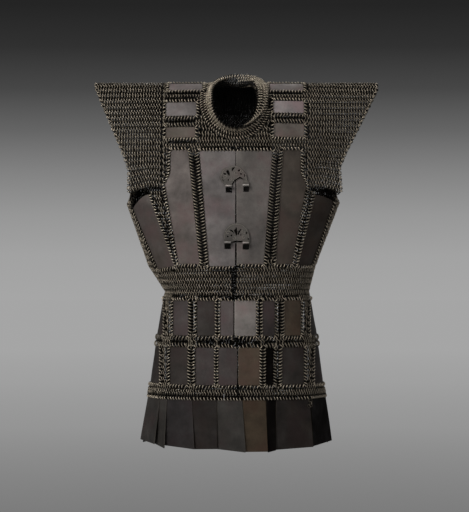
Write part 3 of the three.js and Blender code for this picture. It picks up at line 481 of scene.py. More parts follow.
FRONT, BACK = ("front", "front"), ("back", "back")
FRONT_TOP, TORSO_TOP, BACK_TOP, CHEST_LOW = 150.5, 148.3, 165, 398
BODY_PLATES = [
    ("left_centre_plate", "centre_left", [(148, -80), (401, -58.3)], LEFT_FREE, FRONT_TOP, 403, FRONT),
    ("right_centre_plate", "centre_right", RIGHT_FREE, [(148, 80), (401, 60.5)], FRONT_TOP, CHEST_LOW,
     FRONT),
    ("left_breast_plate", "breast_left", [(148, -142), (200, -143.5), (223, -155), (398, -124.5)],
     [(148, -104.3), (398, -78.5)], TORSO_TOP, CHEST_LOW, FRONT),
    ("right_breast_plate", "breast_right", [(148, 103.2), (398, 86.2)],
     [(148, 141), (200, 142.3), (225, 154), (398, 122)], TORSO_TOP, CHEST_LOW, FRONT),
    ("left_side_plate", "side", [(275, -225.5), (409, -169.4)], [(244, -190.7), (402.6, -132.4)],
     (275, 244), (409, 402.6), FRONT),
    ("right_side_plate", "side_right", [(245.5, 173.8), (400, 133.3)], [(259, 214), (400, 164.8)],
     (245.5, 259), 400, FRONT),
    ("left_back_plate", "side", [(165, -12), (398, -10)], [(165, -128), (398, -112)], BACK_TOP,
     CHEST_LOW, BACK),
    ("right_back_plate", "side", [(165, 128), (398, 112)], [(165, 12), (398, 10)], BACK_TOP,
     CHEST_LOW, BACK),
]
CHEST_PLATES = len(BODY_PLATES)
TIERS = (
    ("one", TIER1_TOP, TIER1, (
        (1, "tier_grey", -136, -103), (2, "tier_dark", -84, -44.6), (3, "tier_rose", -34, -5.2),
        (4, "tier_pale", -2.8, 44), (5, "tier_grey", 56.6, 84), (6, "tier_brown", 105, 141),
        ("left", "tier_dark", -150, -157), ("right", "tier_dark", 161, 153))),
    ("two", TIER2_TOP, TIER2, (
        (1, "tier_dark", -143, -104.5), (2, "tier_grey", -87.5, -46.6), (3, "tier_grey", -38, 2.7),
        (4, "tier_brown", 5.3, 52), (5, "shadowed", 62.6, 81), (6, "tier_dark", 99.5, 148),
        ("left", "tier_dark", -160, -165), ("right", "tier_dark", 170, 163))),
)
SIDE_EDGES = {"left": ("back", "front"), "right": ("front", "back")}
# Plates of the tiers at the back, which the CAD model leaves in the net: number, reach and margin
BACK_COUNT, BACK_REACH, BACK_MARGIN = 6, 132, 7
BACK_TIERS = []
for tier, top, bottom, plates in TIERS:
    for label, look, left, right in plates:
        name = f"tier_{tier}_{label}_side_plate" if label in SIDE_EDGES else f"tier_{tier}_plate_{label}"
        BODY_PLATES.append((name, look, left, right, top, bottom, SIDE_EDGES.get(label, FRONT)))
    edges = np.linspace(BACK_REACH, -BACK_REACH, BACK_COUNT + 1)
    for k in range(BACK_COUNT):
        BACK_TIERS.append((f"tier_{tier}_back_plate_{k + 1}", "tier_dark" if k % 2 else "tier_grey",
                           edges[k] - BACK_MARGIN, edges[k + 1] + BACK_MARGIN, top, bottom, BACK))

SHOULDER_PLATES = [
    ("left_shoulder_plate_1", "shoulder", -147, -73, 0.4, 17, "front"),
    ("left_shoulder_plate_2", "shoulder_left", -153, -86, 43, 74, "front"),
    ("left_shoulder_plate_3", "shoulder_low", -153, -88, 98, 122, "front"),
    ("right_shoulder_plate_1", "shoulder", 74, 149, 0.4, 17, "front"),
    ("right_shoulder_plate_2", "shoulder_right", 82, 149, 40, 67, "front"),
    ("right_shoulder_plate_3", "shoulder_warm", 83, 149, 90, 120, "front"),
    ("left_shoulder_back_plate", "shoulder_low", -73, -147, 14, 62, "back"),
    ("right_shoulder_back_plate", "shoulder_low", 147, 73, 14, 62, "back"),
]
NODES_OF = frame["record"]["behaviour"]["bodies"]
BODY_OF = {node: body for body in frame["bodies"] for node in NODES_OF[body]}


def plate_angles(plate, drop):
    """The angles of a plate's left and right edges at a drop."""
    _, _, left, right, _, _, sides = plate
    a = angle_of(sides[0], read(left, drop), drop)
    b = angle_of(sides[1], read(right, drop), drop)
    return a, np.where(b < a, b + TURN, b)


def ends(value):
    return value if isinstance(value, tuple) else (value, value)


def along(pair, u):
    return pair[0] + (pair[1] - pair[0]) * u


def body_patch(plate):
    """A plate's surface over shares u to the right and v up."""
    top, bottom = ends(plate[4]), ends(plate[5])

    def place(u, v):
        low, high = along(bottom, u), along(top, u)
        drop = low + (high - low) * v
        a, b = plate_angles(plate, drop)
        return body_point(a + (b - a) * u, drop)

    return place


def shoulder_patch(plate):
    _, _, left, right, top, bottom, side = plate
    low, high = way_of(side, bottom), way_of(side, top)
    return lambda u, v: shoulder_point(left + (right - left) * u, low + (high - low) * v)


# Places of the lines next to an edge, depth and width of its softening, width of the worn rim, and
# width of the border where the dents fade out
EDGE_PLACES, SOFT, SOFT_WIDTH, RIM_WIDTH, CALM_WIDTH = (0.45, 1.0, 1.6), 0.45, 1.1, 1.6, 8


def lines(length, step, inserts=()):
    """Rising places along an edge: fine near its ends, even between, with some places kept exactly."""
    one, two, three = EDGE_PLACES
    inner = np.linspace(three, length - three, max(int(length / step), 2))
    places = [0, one, two, *inner, length - two, length - one, length]
    for value in inserts:
        places[int(np.argmin(np.abs(np.array(places) - value)))] = value
    return np.array(sorted(places)) / length


def grid_plate(name, place, look, corner, dent, seed, holes=(), step=3.2, thick=(PLATE_IN, PLATE_OUT)):
    """A bent plate with rounded corners, soft edges and dents; holes are (u0, u1, v0, v1) shares."""
    mid = np.array([0.5])
    width = np.linalg.norm(np.diff(place(np.linspace(0, 1, 20), np.full(20, 0.5)), axis=0), axis=1).sum()
    height = np.linalg.norm(place(mid, mid * 2)[0] - place(mid, mid * 0)[0])
    us = lines(width, step, [u * width for h in holes for u in h[:2]])
    vs = lines(height, step, [v * height for h in holes for v in h[2:]])
    u, v = np.meshgrid(us, vs, indexing="ij")
    near = np.minimum(v, 1 - v) * height
    inset = np.where(near < corner, corner - np.sqrt(np.clip(corner**2 - (corner - near) ** 2, 0, None)), 0)
    inset = inset / width
    flat_u = inset + u * (1 - 2 * inset)
    point, out, _, _ = frames(place, flat_u.ravel(), v.ravel(), 1e-4, 1e-4)
    edge = np.minimum(np.minimum(flat_u - inset, 1 - inset - flat_u) * width, near).ravel()
    soft = SOFT * (1 - np.clip(edge / SOFT_WIDTH, 0, 1)) ** 2
    wave = np.array([
        noise.noise(Vector(p * 0.035 + seed * 17.3)) + 0.5 * noise.noise(Vector(p * 0.11 + seed))
        for p in point])
    lift = dent * wave * np.clip(edge / CALM_WIDTH, 0.15, 1)
    outer = point + out * (thick[1] + lift - soft)[:, None]
    inner = point + out * (thick[0] + lift + soft * 0.5)[:, None]
    nu, nv = len(us), len(vs)
    index, shift = np.arange(nu * nv).reshape(nu, nv), nu * nv
    # the cells that are there, with an empty border, so that every open side gets its wall
    keep = np.zeros((nu + 1, nv + 1), bool)
    keep[1:-1, 1:-1] = True
    for u0, u1, v0, v1 in holes:
        cu, cv = (us[:-1] + us[1:]) / 2, (vs[:-1] + vs[1:]) / 2
        keep[1:-1, 1:-1][np.ix_((cu > u0) & (cu < u1), (cv > v0) & (cv < v1))] = False
    faces = []
    for a, b in np.argwhere(keep) - 1:
        p, q, r, s = index[a, b], index[a + 1, b], index[a + 1, b + 1], index[a, b + 1]
        faces += [(p, q, r, s), (s + shift, r + shift, q + shift, p + shift)]
        for there, first, second in (((a, b - 1), p, q), ((a + 1, b), q, r), ((a, b + 1), r, s),
                                     ((a - 1, b), s, p)):
            if not keep[there[0] + 1, there[1] + 1]:
                faces.append((second, first, first + shift, second + shift))
    # hidden is 1 on the inner face, which the material paints near black as shade
    rim, hidden = np.tile(np.clip(1 - edge / RIM_WIDTH, 0, 1), 2), np.repeat((0.0, 1.0), len(edge))
    return new_mesh(name, np.concatenate([outer, inner]), faces, SHEET[look], 50, rim=rim, hidden=hidden)


OUTLINE = 60


def outline(place):
    """Points along the four edges of a plate, corners included."""
    way, low, high = np.linspace(0, 1, OUTLINE), np.zeros(OUTLINE), np.ones(OUTLINE)
    return np.concatenate([place(low, way), place(high, way), place(way, low), place(way, high)])


ALL_PLATES = [(plate[0], body_patch(plate)) for plate in BODY_PLATES + BACK_TIERS]
ALL_PLATES += [(plate[0], shoulder_patch(plate)) for plate in SHOULDER_PLATES]
EDGES = np.concatenate([outline(place) for _, place in ALL_PLATES])
OWNER = np.repeat(np.arange(len(ALL_PLATES)), len(EDGES) // len(ALL_PLATES))
CORNER = np.abs(np.arange(len(EDGES)) % OUTLINE - (OUTLINE - 1) / 2) > OUTLINE / 2 - 2
NUMBER = {name: k for k, (name, _) in enumerate(ALL_PLATES)}
FAR, NONE = 40.0, 1e9


def nearest(points, own=None):
    """Distance to the nearest plate edge and to the next plate's, whether they face, and 1 for a corner."""
    found = np.full((len(points), 4), (FAR, FAR, 1.0, 0.0))
    for k, point in enumerate(points):
        close = (np.abs(EDGES - point) < FAR).all(1) & (OWNER != NUMBER.get(own, -1))
        away, owner = EDGES[close] - point, OWNER[close]
        if not len(away):
            continue
        gap = np.sqrt((away**2).sum(1))
        first = gap.argmin()
        found[k, 0], found[k, 3] = gap[first], CORNER[close][first]
        rest = np.where(owner == owner[first], NONE, gap)
        second = rest.argmin()
        if rest[second] < NONE:
            found[k, 1:3] = rest[second], away[first] @ away[second] / (gap[first] * rest[second] + 1e-9)
    return found


def open_net(points):
    """Whether ordinary rings go at the points: clear of the plates and of the narrow strips between them."""
    first, second, facing, corner = nearest(points).T
    strip = (first + second < STRIP) & (facing < -0.8)
    return ((first > CLEAR) & ~strip) | ((corner > 0) & (first > CORNER_CLEAR))


def edge_rings(rings, place, sides, own=None, reach=EDGE_OUT, lift=1.3):
    """Rings through the holes along a plate's edges: short leaning bars that wrap round its rim."""
    shares = np.linspace(0, 1, 40)
    for side in sides:
        upright, sign = side in "lr", 1 if side in "rt" else -1
        fixed = 1.0 if side in "rt" else 0.0
        still = np.full(len(shares), fixed)
        length = run(place(still, shares) if upright else place(shares, still))
        count = max(int(length[-1] / EDGE_PITCH), 1)
        t = np.interp((np.arange(count) + 0.5) / count * length[-1], length, shares)
        still = np.full(count, fixed)
        u, v = (still, t) if upright else (t, still)
        point, out, across, up = frames(place, u, v, 1e-4, 1e-4)
        ahead, away = (up, across) if upright else (across, up)
        wobble = rng.normal(0, SWAY, (count, 2))
        normal = unit(ahead + away * (EDGE_SLANT * sign + wobble[:, :1]) + out * (EDGE_NOD + wobble[:, 1:]))
        gap = nearest(point, own)[:, 0]
        beyond = np.where(gap < STRIP, np.maximum(gap / 2 + 0.5, 3.2), reach)
        centre = point + out * lift + away * sign * ((beyond - EDGE_IN) / 2)[:, None]
        rings.add(centre + rng.normal(0, EDGE_STRAY, (count, 3)), normal, out,
                  (beyond + EDGE_IN) / 2 - EDGE_WIRE, EDGE_WIRE)
    for x, y in ((0.0, 0.0), (1.0, 0.0), (0.0, 1.0), (1.0, 1.0)):
        if ("l" if x == 0 else "r") in sides and ("b" if y == 0 else "t") in sides:
            point, out, across, up = frames(place, np.array([x]), np.array([y]), 1e-4, 1e-4)
            away = unit(across * (2 * x - 1) + up * (2 * y - 1))
            normal = unit(np.cross(out, away) + out * EDGE_NOD)
            rings.add(point + out * lift + away * 2.6, normal, out, EDGE_R, EDGE_WIRE)


# Mail of the body, sorted into zones: one for each body and one for each strip at a seam

# Drop from which rows at the back run on under the arms, and how near the side they end; depth of the
# hidden rings; half the width of a seam's strip; a start past the front's middle, and places to a turn
UNDERARM, UNDERARM_TURN, DEEP, SEAM_HALF = 226, 0.12, 6.0, 8
LATEST_START, PLACES = 1.5 * math.pi + 0.2, 60
# How far plates keep rows away, the shortest span that gets rings, and the gap at both ends of a span
PLATE_MARGIN, SHORTEST, SPAN_END = 1.5, 3.5, 0.5
# How much wider than its plates the front opening is at the waist
GAPE = np.array([(400, 0), (405, 5), (455, 3), (474, 0)], float)
SEAM_PARTS = ((YOKE, CHEST), (CHEST, BELT), (BELT, SKIRT))
zones = {}


def zone(name):
    return zones.setdefault(name, Rings())


def sort_out(point):
    """For each ring, the name of the body it rides on or of the strip at a seam."""
    x, drop = point[:, 0], -point[:, 2]
    front = point[:, 1] < 0
    left_seam, right_seam = read(LEFT_SEAM, drop), read(RIGHT_SEAM, drop)
    middle = (read(LEFT_FREE, drop) + read(RIGHT_FREE, drop)) / 2
    names = np.full(len(x), "torso", object)
    names[drop > BELT] = "skirt"
    names[front & (x > left_seam) & (x < middle)] = "left_front"
    names[front & (x < right_seam) & (x > middle)] = "right_front"
    part = np.where(drop < CHEST, 1, np.where(drop < BELT, 2, 3))
    for label, seam in (("left", left_seam), ("right", right_seam)):
        near = front & (np.abs(x - seam) < SEAM_HALF)
        for k in (1, 2, 3):
            names[near & (part == k)] = f"{label}_seam_{k}"
    return names


def body_holes(drop, behind):
    """The spans of angle that a row leaves out: plates, the front opening and the arms."""
    holes = [(math.pi, TURN), (3 * math.pi, 2 * TURN)] if behind else []
    for plate in BODY_PLATES + BACK_TIERS:
        top, bottom = ends(plate[4]), ends(plate[5])
        if min(top) - PLATE_MARGIN < drop < max(bottom) + PLATE_MARGIN:
            a, b = (float(v) for v in plate_angles(plate, drop))
            if top[0] != top[1] or bottom[0] != bottom[1]:
                u = np.linspace(0, 1, 30)
                inside = (along(top, u) - PLATE_MARGIN < drop) & (drop < along(bottom, u) + PLATE_MARGIN)
                if not inside.any():
                    continue
                a, b = a + (b - a) * u[inside].min(), a + (b - a) * u[inside].max()
            holes.append((a, b))
    gape = float(np.interp(drop, *GAPE.T))
    holes.append((front_angle(read(LEFT_FREE, drop) - gape, drop),
                  front_angle(read(RIGHT_FREE, drop) + gape * 0.3, drop)))
    arm = float(np.interp(drop, ARMPIT[:, 1], ARMPIT[:, 0]))
    rear = drop > UNDERARM
    if drop < ARMPIT[-1, 1] and arm < level(1, drop):
        start = math.pi - UNDERARM_TURN if rear else float(angle_of("back", -arm, drop))
        holes.append((start, front_angle(-arm, drop)))
    if drop < ARMPIT[-1, 1] and arm < level(2, drop):
        end = UNDERARM_TURN if rear else float(angle_of("back", arm, drop))
        holes.append((front_angle(arm, drop), end + TURN))
    return holes


def lay_body_row(drop, row, behind=False):
    """Lays one level row round the body; the back, which is not seen, is closed by rows in between."""
    holes = body_holes(drop, behind)
    start = max(high for _, high in holes if high <= LATEST_START)
    shifts = [TURN if high <= start + 1e-9 else 0 for _, high in holes]
    shifted = [(low + shift, high + shift) for (low, high), shift in zip(holes, shifts)]
    for a, b in intervals(shifted, start, start + TURN):
        angles = np.linspace(a, b, max(int((b - a) * PLACES), 12))
        length = run(body_point(angles, drop))
        if length[-1] < SHORTEST:
            continue
        inner = length[-1] - 2 * SPAN_END
        share = spread(inner, row)
        if not len(share):
            share = np.array([0.5])
        angle = np.interp(SPAN_END + share * inner, length, angles)
        point, out, across, up = body_frames(angle, drop)
        clear = open_net(point)
        deep = (point[:, 1] > 0) & ~clear
        keep = clear | deep
        if not keep.any():
            continue
        point, out, across, up, deep = (values[keep] for values in (point, out, across, up, deep))
        centre = point + out * (MID - DEEP * deep)[:, None] + rng.normal(0, BODY_STRAY, point.shape)
        normal = lean(out, across, up, way_round(row))
        names = sort_out(centre)
        for key in sorted(set(names)):
            pick = names == key
            zone(key).add(centre[pick], normal[pick], out[pick])
        if behind:
            point, out, across, up = body_frames(angle[:-1] + np.diff(angle) / 2, drop)
            rear = point[:, 1] > 0
            point, out, across, up = (values[rear] for values in (point, out, across, up))
            zone("torso" if drop < BELT else "skirt").add(
                point + out * (MID - DEEP), lean(out, across, up, -way_round(row)), out)


# The rows meet the middle of the strips of mail between and below the two tiers
STRIP_ONE, STRIP_TWO, UPPER_ROWS, LOWER_ROWS = (TIER1 + TIER2_TOP) / 2, 673.2, 65, 18
FIRST_STEP, LAST_STEP, HEM_BETWEEN = 3.4, 6.6, [683.0, 686.3, 689.6]
drops = np.concatenate([
    np.linspace(YOKE + FIRST_STEP, STRIP_ONE, UPPER_ROWS),
    np.linspace(STRIP_ONE, STRIP_TWO, LOWER_ROWS)[1:], [STRIP_TWO + LAST_STEP]])
for row, drop in enumerate(drops):
    lay_body_row(float(drop), row)
between = np.concatenate([drops[:-1] + np.diff(drops) / 2, HEM_BETWEEN])
for row, drop in enumerate(between):
    lay_body_row(float(drop), row, behind=True)

# Mail of the shoulders and sleeves

# Length over the shoulder that a way of 1 stands for, and the neck's eased ends
WAY_LENGTH, EASE_LOW, EASE_HIGH = 215, math.sqrt(NECK_EASE), math.sqrt(1 + NECK_EASE)
# Rows round the neck: number, first distance from its edge, and step; half width closed up behind them
NECK_ROWS, NECK_FIRST, NECK_STEP, NECK_CLOSED = 3, 3.5, 6.2, 80
# Half the neck's width at its edge, points along a measured path, and the x where rows are spaced evenly
NECK_WIDTH, SAMPLES, YOKE_X = NECK_HALF + NECK_SPREAD, 400, 110
# Margins of the yoke's rows round the neck's rows and over and under the plates, and how much nearer to
# the plates the neck's own rows may come
NECK_MARGIN, WAY_MARGIN, NECK_EASING = 2.0, 0.006, 1.5


def neck_ways(grow):
    return NECK_BACK + grow / WAY_LENGTH, way_of("front", NECK_FRONT) - grow / WAY_LENGTH


def neck_half(way, grow):
    """Half the width of the neck opening, grown by grow, at a way over the shoulders."""
    back, front = neck_ways(grow)
    eased = (way - back) / (front - back)
    if not 0 < eased < 1:
        return 0.0
    share = (eased * (EASE_HIGH - EASE_LOW) + EASE_LOW) ** 2 - NECK_EASE
    cosine = 1 - 2 * share
    return (NECK_WIDTH + grow) * math.sqrt(max(1 - cosine**2, 0))


def neck_edge(turn, width, grow=0.0):
    """The x and way of the neck's edge at a turn round it."""
    back, front = neck_ways(grow)
    share = (1 - np.cos(turn)) / 2
    eased = (np.sqrt(share + NECK_EASE) - EASE_LOW) / (EASE_HIGH - EASE_LOW)
    return width * np.sin(turn), back + (front - back) * eased


def row_ways(x, hem):
    """Ways at which rows lie, evenly spaced over the ridge at one x."""
    ways = np.linspace(0, 1, SAMPLES)
    out = []
    for sign in (-1, 1):
        length = run(shoulder_point(np.full(SAMPLES, x), ways * sign, hem))
        count = int((length[-1] - 2) / (ROW if sign < 0 else ROW / 2))
        places = (np.arange(count) + 0.5) * (length[-1] - 1) / count
        out += [(sign * w, k) for k, w in enumerate(np.interp(places, length, ways))]
    return out


for way, row in row_ways(YOKE_X, YOKE):
    holes = []
    half = neck_half(way, NECK_ROWS * NECK_STEP + NECK_MARGIN)
    if half:
        holes.append((-half, half))
    for _, _, left, right, top, bottom, side in SHOULDER_PLATES:
        low, high = sorted((way_of(side, top), way_of(side, bottom)))
        if low - WAY_MARGIN < way < high + WAY_MARGIN:
            holes.append((min(left, right), max(left, right)))
    spans = [(a, b, row) for a, b in intervals(holes, -SEAM_X, SEAM_X)]
    if way > 0:
        spans += [(a, b, row + 1) for a, b in intervals(holes, -NECK_CLOSED, NECK_CLOSED)]
    for a, b, parity in spans:
        inner = b - a - 2 * SPAN_END
        share = spread(inner, parity)
        if b - a < SHORTEST or not len(share):
            continue
        x, ways = a + SPAN_END + share * inner, np.full(len(share), way)
        clear = open_net(shoulder_point(x, ways))
        lay(zone("yoke"), shoulder_point, x[clear], ways[clear], parity)
        if way > 0 and not clear.all():
            lay(zone("yoke"), shoulder_point, x[~clear], ways[~clear], parity, MID - DEEP)

for k in range(NECK_ROWS):
    grow = NECK_FIRST + k * NECK_STEP
    width = NECK_WIDTH + grow
    turns = np.linspace(-math.pi, math.pi, SAMPLES)
    length = run(shoulder_point(*neck_edge(turns, width, grow)))
    turn = np.interp(spread(length[-1], k) * length[-1], length, turns)
    x, way = neck_edge(turn, width, grow)
    clear = nearest(shoulder_point(x, way))[:, 0] > CLEAR - NECK_EASING
    x, way, turn = x[clear], way[clear], turn[clear]
    point, out, _, _ = frames(shoulder_point, x, way)
    ahead = shoulder_point(*neck_edge(turn + 1e-3, width, grow)) - point
    onward = unit(ahead - out * np.sum(ahead * out, -1, keepdims=True))
    normal = lean(out, onward, np.cross(out, onward), way_round(k), turn=1.0, tip=0.35)
    zone("yoke").add(point + out * MID, normal, out, RING_R + 0.3)

# The cuff is read at one x of a hem; its row: samples, spacing, inset, slant, height, ring and wire
CUFF_X, CUFF_HEM, CUFF_SAMPLES, CUFF_PITCH = 200.0, 230, 60, 5.2
CUFF_INSET, CUFF_SLANT, CUFF_HEIGHT, CUFF_RING, CUFF_WIRE = 1.5, 0.4, 1.6, 3.3, 0.76


def sleeve_rows(name, sign, cuff):
    """Rows over a sleeve, and a closer row along its slanted cuff."""
    rings = zone(name)

    def surface(x, way):
        return shoulder_point(x, way, np.interp(np.abs(x), *SLEEVE_HEM.T))

    for way, row in row_ways(sign * CUFF_X, CUFF_HEM):
        drop = -shoulder_point(sign * CUFF_X, way, CUFF_HEM)[2]
        reach = abs(float(np.interp(drop, *cuff.T)))
        share = spread(reach - SEAM_X, row)
        x = sign * (SEAM_X + share * (reach - SEAM_X))
        lay(rings, surface, x, np.full(len(x), way), row)
    places = np.arange(CUFF_SAMPLES)
    for side in (-1, 1):
        ways = side * np.linspace(0.12, 0.99, CUFF_SAMPLES)
        drops = -shoulder_point(np.full(CUFF_SAMPLES, sign * CUFF_X), ways, CUFF_HEM)[:, 2]
        x = np.interp(drops, *cuff.T) - sign * CUFF_INSET
        length = run(surface(x, ways))
        count = int(length[-1] / CUFF_PITCH)
        t = np.interp((np.arange(count) + 0.5) / count * length[-1], length, places)
        x, way = np.interp(t, places, x), np.interp(t, places, ways)
        point, out, _, up = frames(surface, x, way)
        normal = unit(up + out * CUFF_SLANT * np.where(np.arange(count) % 2, 1, -1)[:, None])
        rings.add(point + out * CUFF_HEIGHT, normal, out, CUFF_RING, CUFF_WIRE)


sleeve_rows("left_sleeve", -1, LEFT_CUFF)
sleeve_rows("right_sleeve", 1, RIGHT_CUFF)

# The collar: rows of leaning bars round a wall, from the neck up to a rim; turn 0 is at the back
COLLAR_RIM = np.array([
    (-180, 5, -118, -103), (-157.5, -19, -115, -99), (-135, -39, -109, -82), (-112.5, -50, -99, -58),
    (-90, -52, -82, -33), (-67.5, -53, -55, -11), (-45, -46, -20, 6.6), (-22.5, -23, 10, 19),
    (0, 4.8, 20, 24), (22.5, 33, 10, 21), (45, 57, -20, 8.8), (67.5, 70, -55, -9), (90, 71, -82, -28),
    (112.5, 69, -99, -52), (135, 55, -109, -76), (157.5, 33, -115, -95), (180, 5, -118, -103)], float)
RIM_TURNS = np.radians(np.linspace(-180, 180, 361))
RIM = []
for column in COLLAR_RIM[:, 1:].T:
    column = np.interp(np.degrees(RIM_TURNS), COLLAR_RIM[:, 0], column)
    closed = np.concatenate([column[-25:-1], column, column[1:25]])
    RIM.append(np.convolve(closed, np.hanning(51)[1:-1] / 25, "valid"))
# Turn and half width of the split in the upper rows, and the gap left at the front
COLLAR_SPLIT, SPLIT_HALF, COLLAR_GAP = 0.12, 0.042, 0.03
# How far the wall's foot runs in on the right and stands over the mail; spacing and height of the bars
COLLAR_IN, COLLAR_OVER, COLLAR_PITCH, COLLAR_HEIGHT = 8.0, 0.6, 7.0, 1.2
# Rows from the rim down: share of the wall's height, ring, and the turn from which the inner face gets the
# painted highlight
COLLAR_ROWS = ((0.98, 4.1, -4), (0.68, 4.0, 0), (0.38, 4.0, 0), (0.08, 4.0, 0.9), (-0.2, 4.0, 9))


def collar_point(turn, share):
    """A point of the wall; its foot runs further in on the right, where the inner face is seen."""
    width = NECK_WIDTH - COLLAR_IN * np.maximum(np.sin(turn), 0)
    x, way = neck_edge(turn, width)
    point, out, _, _ = frames(shoulder_point, x, way)
    base = point + out * (MAIL_THICK + COLLAR_OVER)
    rim = np.stack([np.interp(turn, RIM_TURNS, column) for column in RIM], -1)
    return base + (rim - base) * share[:, None]


for k, (share, radius, bright_from) in enumerate(COLLAR_ROWS):
    limit = math.pi - COLLAR_GAP
    turns = np.linspace(limit, -limit, SAMPLES)
    length = run(collar_point(turns, np.ones(SAMPLES)))
    turn = np.interp(spread(length[-1], 0, COLLAR_PITCH) * length[-1], length, turns)
    if share > 0.5:
        turn = turn[np.abs(turn - COLLAR_SPLIT) > SPLIT_HALF]
    shares = np.full(len(turn), share)
    point = collar_point(turn, shares)
    onward = unit(collar_point(turn - 1e-2, shares) - collar_point(turn + 1e-2, shares))
    up = unit(collar_point(turn, shares * 0 + 1) - collar_point(turn, shares * 0))
    out = unit(np.cross(onward, up))
    # painted light: where the collar's inner face is seen from the front, the rings' painted highlight is
    # turned onto the inner face and their painted shade onto the outer face
    painted_bright_inside = (out[:, 1] > 0) & (turn > bright_from)
    seen = np.where(painted_bright_inside[:, None], -out, out)
    normal = lean(out, onward, np.cross(out, onward), way_round(k), turn=1.3, tip=0.5)
    zone("collar").add(point + seen * COLLAR_HEIGHT, normal, seen, radius, EDGE_WIRE)

# Plates and the rings along their edges

# The tongues of the centre plates by x and drop, half their width, and the hole that each leaves below
TABS = {
    "left_centre_plate": ((-15.4, 226.5), (-18, 349.5)),
    "right_centre_plate": ((21.8, 225), (21.5, 350.5)),
}
TAB_HALF, TAB_HOLE = 6.9, (4, 15.5)
# Plates with an edge that has no rings: at the front opening, or the top of the side plates
EDGE_SIDES = {
    **dict.fromkeys(("left_centre_plate", "tier_one_plate_3", "tier_two_plate_3"), "ltb"),
    **dict.fromkeys(("right_centre_plate", "tier_one_plate_4", "tier_two_plate_4"), "rtb"),
    **dict.fromkeys(("left_side_plate", "right_side_plate"), "lrb"),
}


def tab_holes(plate):
    """The holes below a plate's tongues, as shares of its width and height."""
    top, bottom = ends(plate[4])[0], ends(plate[5])[0]
    holes = []
    for x, drop in TABS.get(plate[0], ()):
        high, low = drop + TAB_HOLE[0], drop + TAB_HOLE[1]
        middle = (high + low) / 2
        left, right = (float(v) for v in plate_angles(plate, middle))
        sides = [(front_angle(x + reach, middle) - left) / (right - left) for reach in (-TAB_HALF, TAB_HALF)]
        holes.append((*sides, (bottom - low) / (bottom - top), (bottom - high) / (bottom - top)))
    return holes


for number, plate in enumerate(BODY_PLATES + BACK_TIERS):
    name, look = plate[:2]
    place = body_patch(plate)
    body = BODY_OF.get(name, "body")
    home, slot = ("torso", "chest_plates") if number < CHEST_PLATES else ("skirt", "skirt_plates")
    holes = tab_holes(plate)
    corner, dent = (1.5, 0.3) if holes else (3.5, 0.45)
    mesh = grid_plate(name, place, look, corner, dent, number, holes)
    put(f"{name}_metal", mesh, body, [name] if name in BODY_OF else [])
    edge_rings(zone(body if body.endswith("_front") else home), place, EDGE_SIDES.get(name, "lrtb"), name)

for number, plate in enumerate(SHOULDER_PLATES):
    name, look = plate[:2]
    place = shoulder_patch(plate)
    mesh = grid_plate(name, place, look, 2.5, 0.3, 90 + number)
    put(f"{name}_metal", mesh, "body", [name])
    edge_rings(zone("yoke"), place, "lrtb", name)

# Tabs and clasps


def face_frame(x, drop):
    """The place of a part on the front plates: x to the right, y up them and z outward."""
    point, out, _, _ = body_frames(np.array([front_angle(0.0, drop)]), drop)
    out = out[0] * np.array((0, 1, 1))
    out = out / np.linalg.norm(out)
    right = np.array((1.0, 0, 0))
    axes = np.stack([right, np.cross(out, right), out], 1)
    origin = point[0] + out * PLATE_OUT + right * x
    return Matrix([(*row, o) for row, o in zip(axes, origin * MM)] + [(0, 0, 0, 1)])


TAB_PROFILE = [(-1.2, 0.4), (-0.2, 0.2), (1.0, 0.0), (3.0, 0.0), (9.5, 0.0), (11.0, 0.35), (12.0, -0.2),
               (12.4, -1.5), (11.8, -2.6), (10.6, -2.9), (9.8, -2.3), (3.0, -1.8), (0.8, -2.2), (-0.6, -2.6),
               (-1.2, -2.0)]


def tab_mesh(name):
    """A tongue bent out of the plate with a rolled tip."""
    verts, faces, n = [], [], len(TAB_PROFILE)
    for share, pull in ((-1, 0.25), (-0.92, 0.0), (0.92, 0.0), (1, 0.25)):
        verts += [(share * TAB_HALF, y * (1 - pull * 0.3) - pull * 0.3, z - pull) for z, y in TAB_PROFILE]
    for k in range(3):
        for i in range(n):
            j = (i + 1) % n
            faces.append((k * n + i, (k + 1) * n + i, (k + 1) * n + j, k * n + j))
    faces += [tuple(range(n)), tuple(range(3 * n, 4 * n))[::-1]]
    return new_mesh(name, verts, faces, SHEET["tab"], 40, rim=np.full(len(verts), 0.35))


for name, places in TABS.items():
    for k, (x, drop) in enumerate(places):
        label = f"{name}_tab_{k + 1}"
        mesh = tab_mesh(label)
        mesh.transform(face_frame(x, drop))
        put(label, mesh, BODY_OF[name])


def curve_mesh(name, outlines, depth, bevel, material):
    """A flat shape with holes from closed outlines in millimetres, as a soft-edged mesh."""
    curve = bpy.data.curves.new(name, "CURVE")
    curve.dimensions = "2D"
    curve.fill_mode = "BOTH"
    curve.extrude = depth / 2 * MM
    curve.bevel_depth = bevel * MM
    curve.bevel_resolution = 1
    for path in outlines:
        spline = curve.splines.new("POLY")
        spline.points.add(len(path) - 1)
        for point, (x, y) in zip(spline.points, path):
            point.co = (x * MM, y * MM, 0, 1)
        spline.use_cyclic_u = True
    obj = bpy.data.objects.new(name, curve)
    bpy.context.scene.collection.objects.link(obj)
    mesh = bpy.data.meshes.new_from_object(obj.evaluated_get(bpy.context.evaluated_depsgraph_get()))
    bpy.data.objects.remove(obj)
    mesh.name = name
    mesh.materials.clear()
    mesh.materials.append(material)
    return mesh


def oval(x, y, a, b, degrees=0.0, n=12):
    t, turn = np.arange(n) * TURN / n, math.radians(degrees)
    u, v = a * np.cos(t), b * np.sin(t)
    c, s = math.cos(turn), math.sin(turn)
    return list(zip(x + u * c - v * s, y + u * s + v * c))


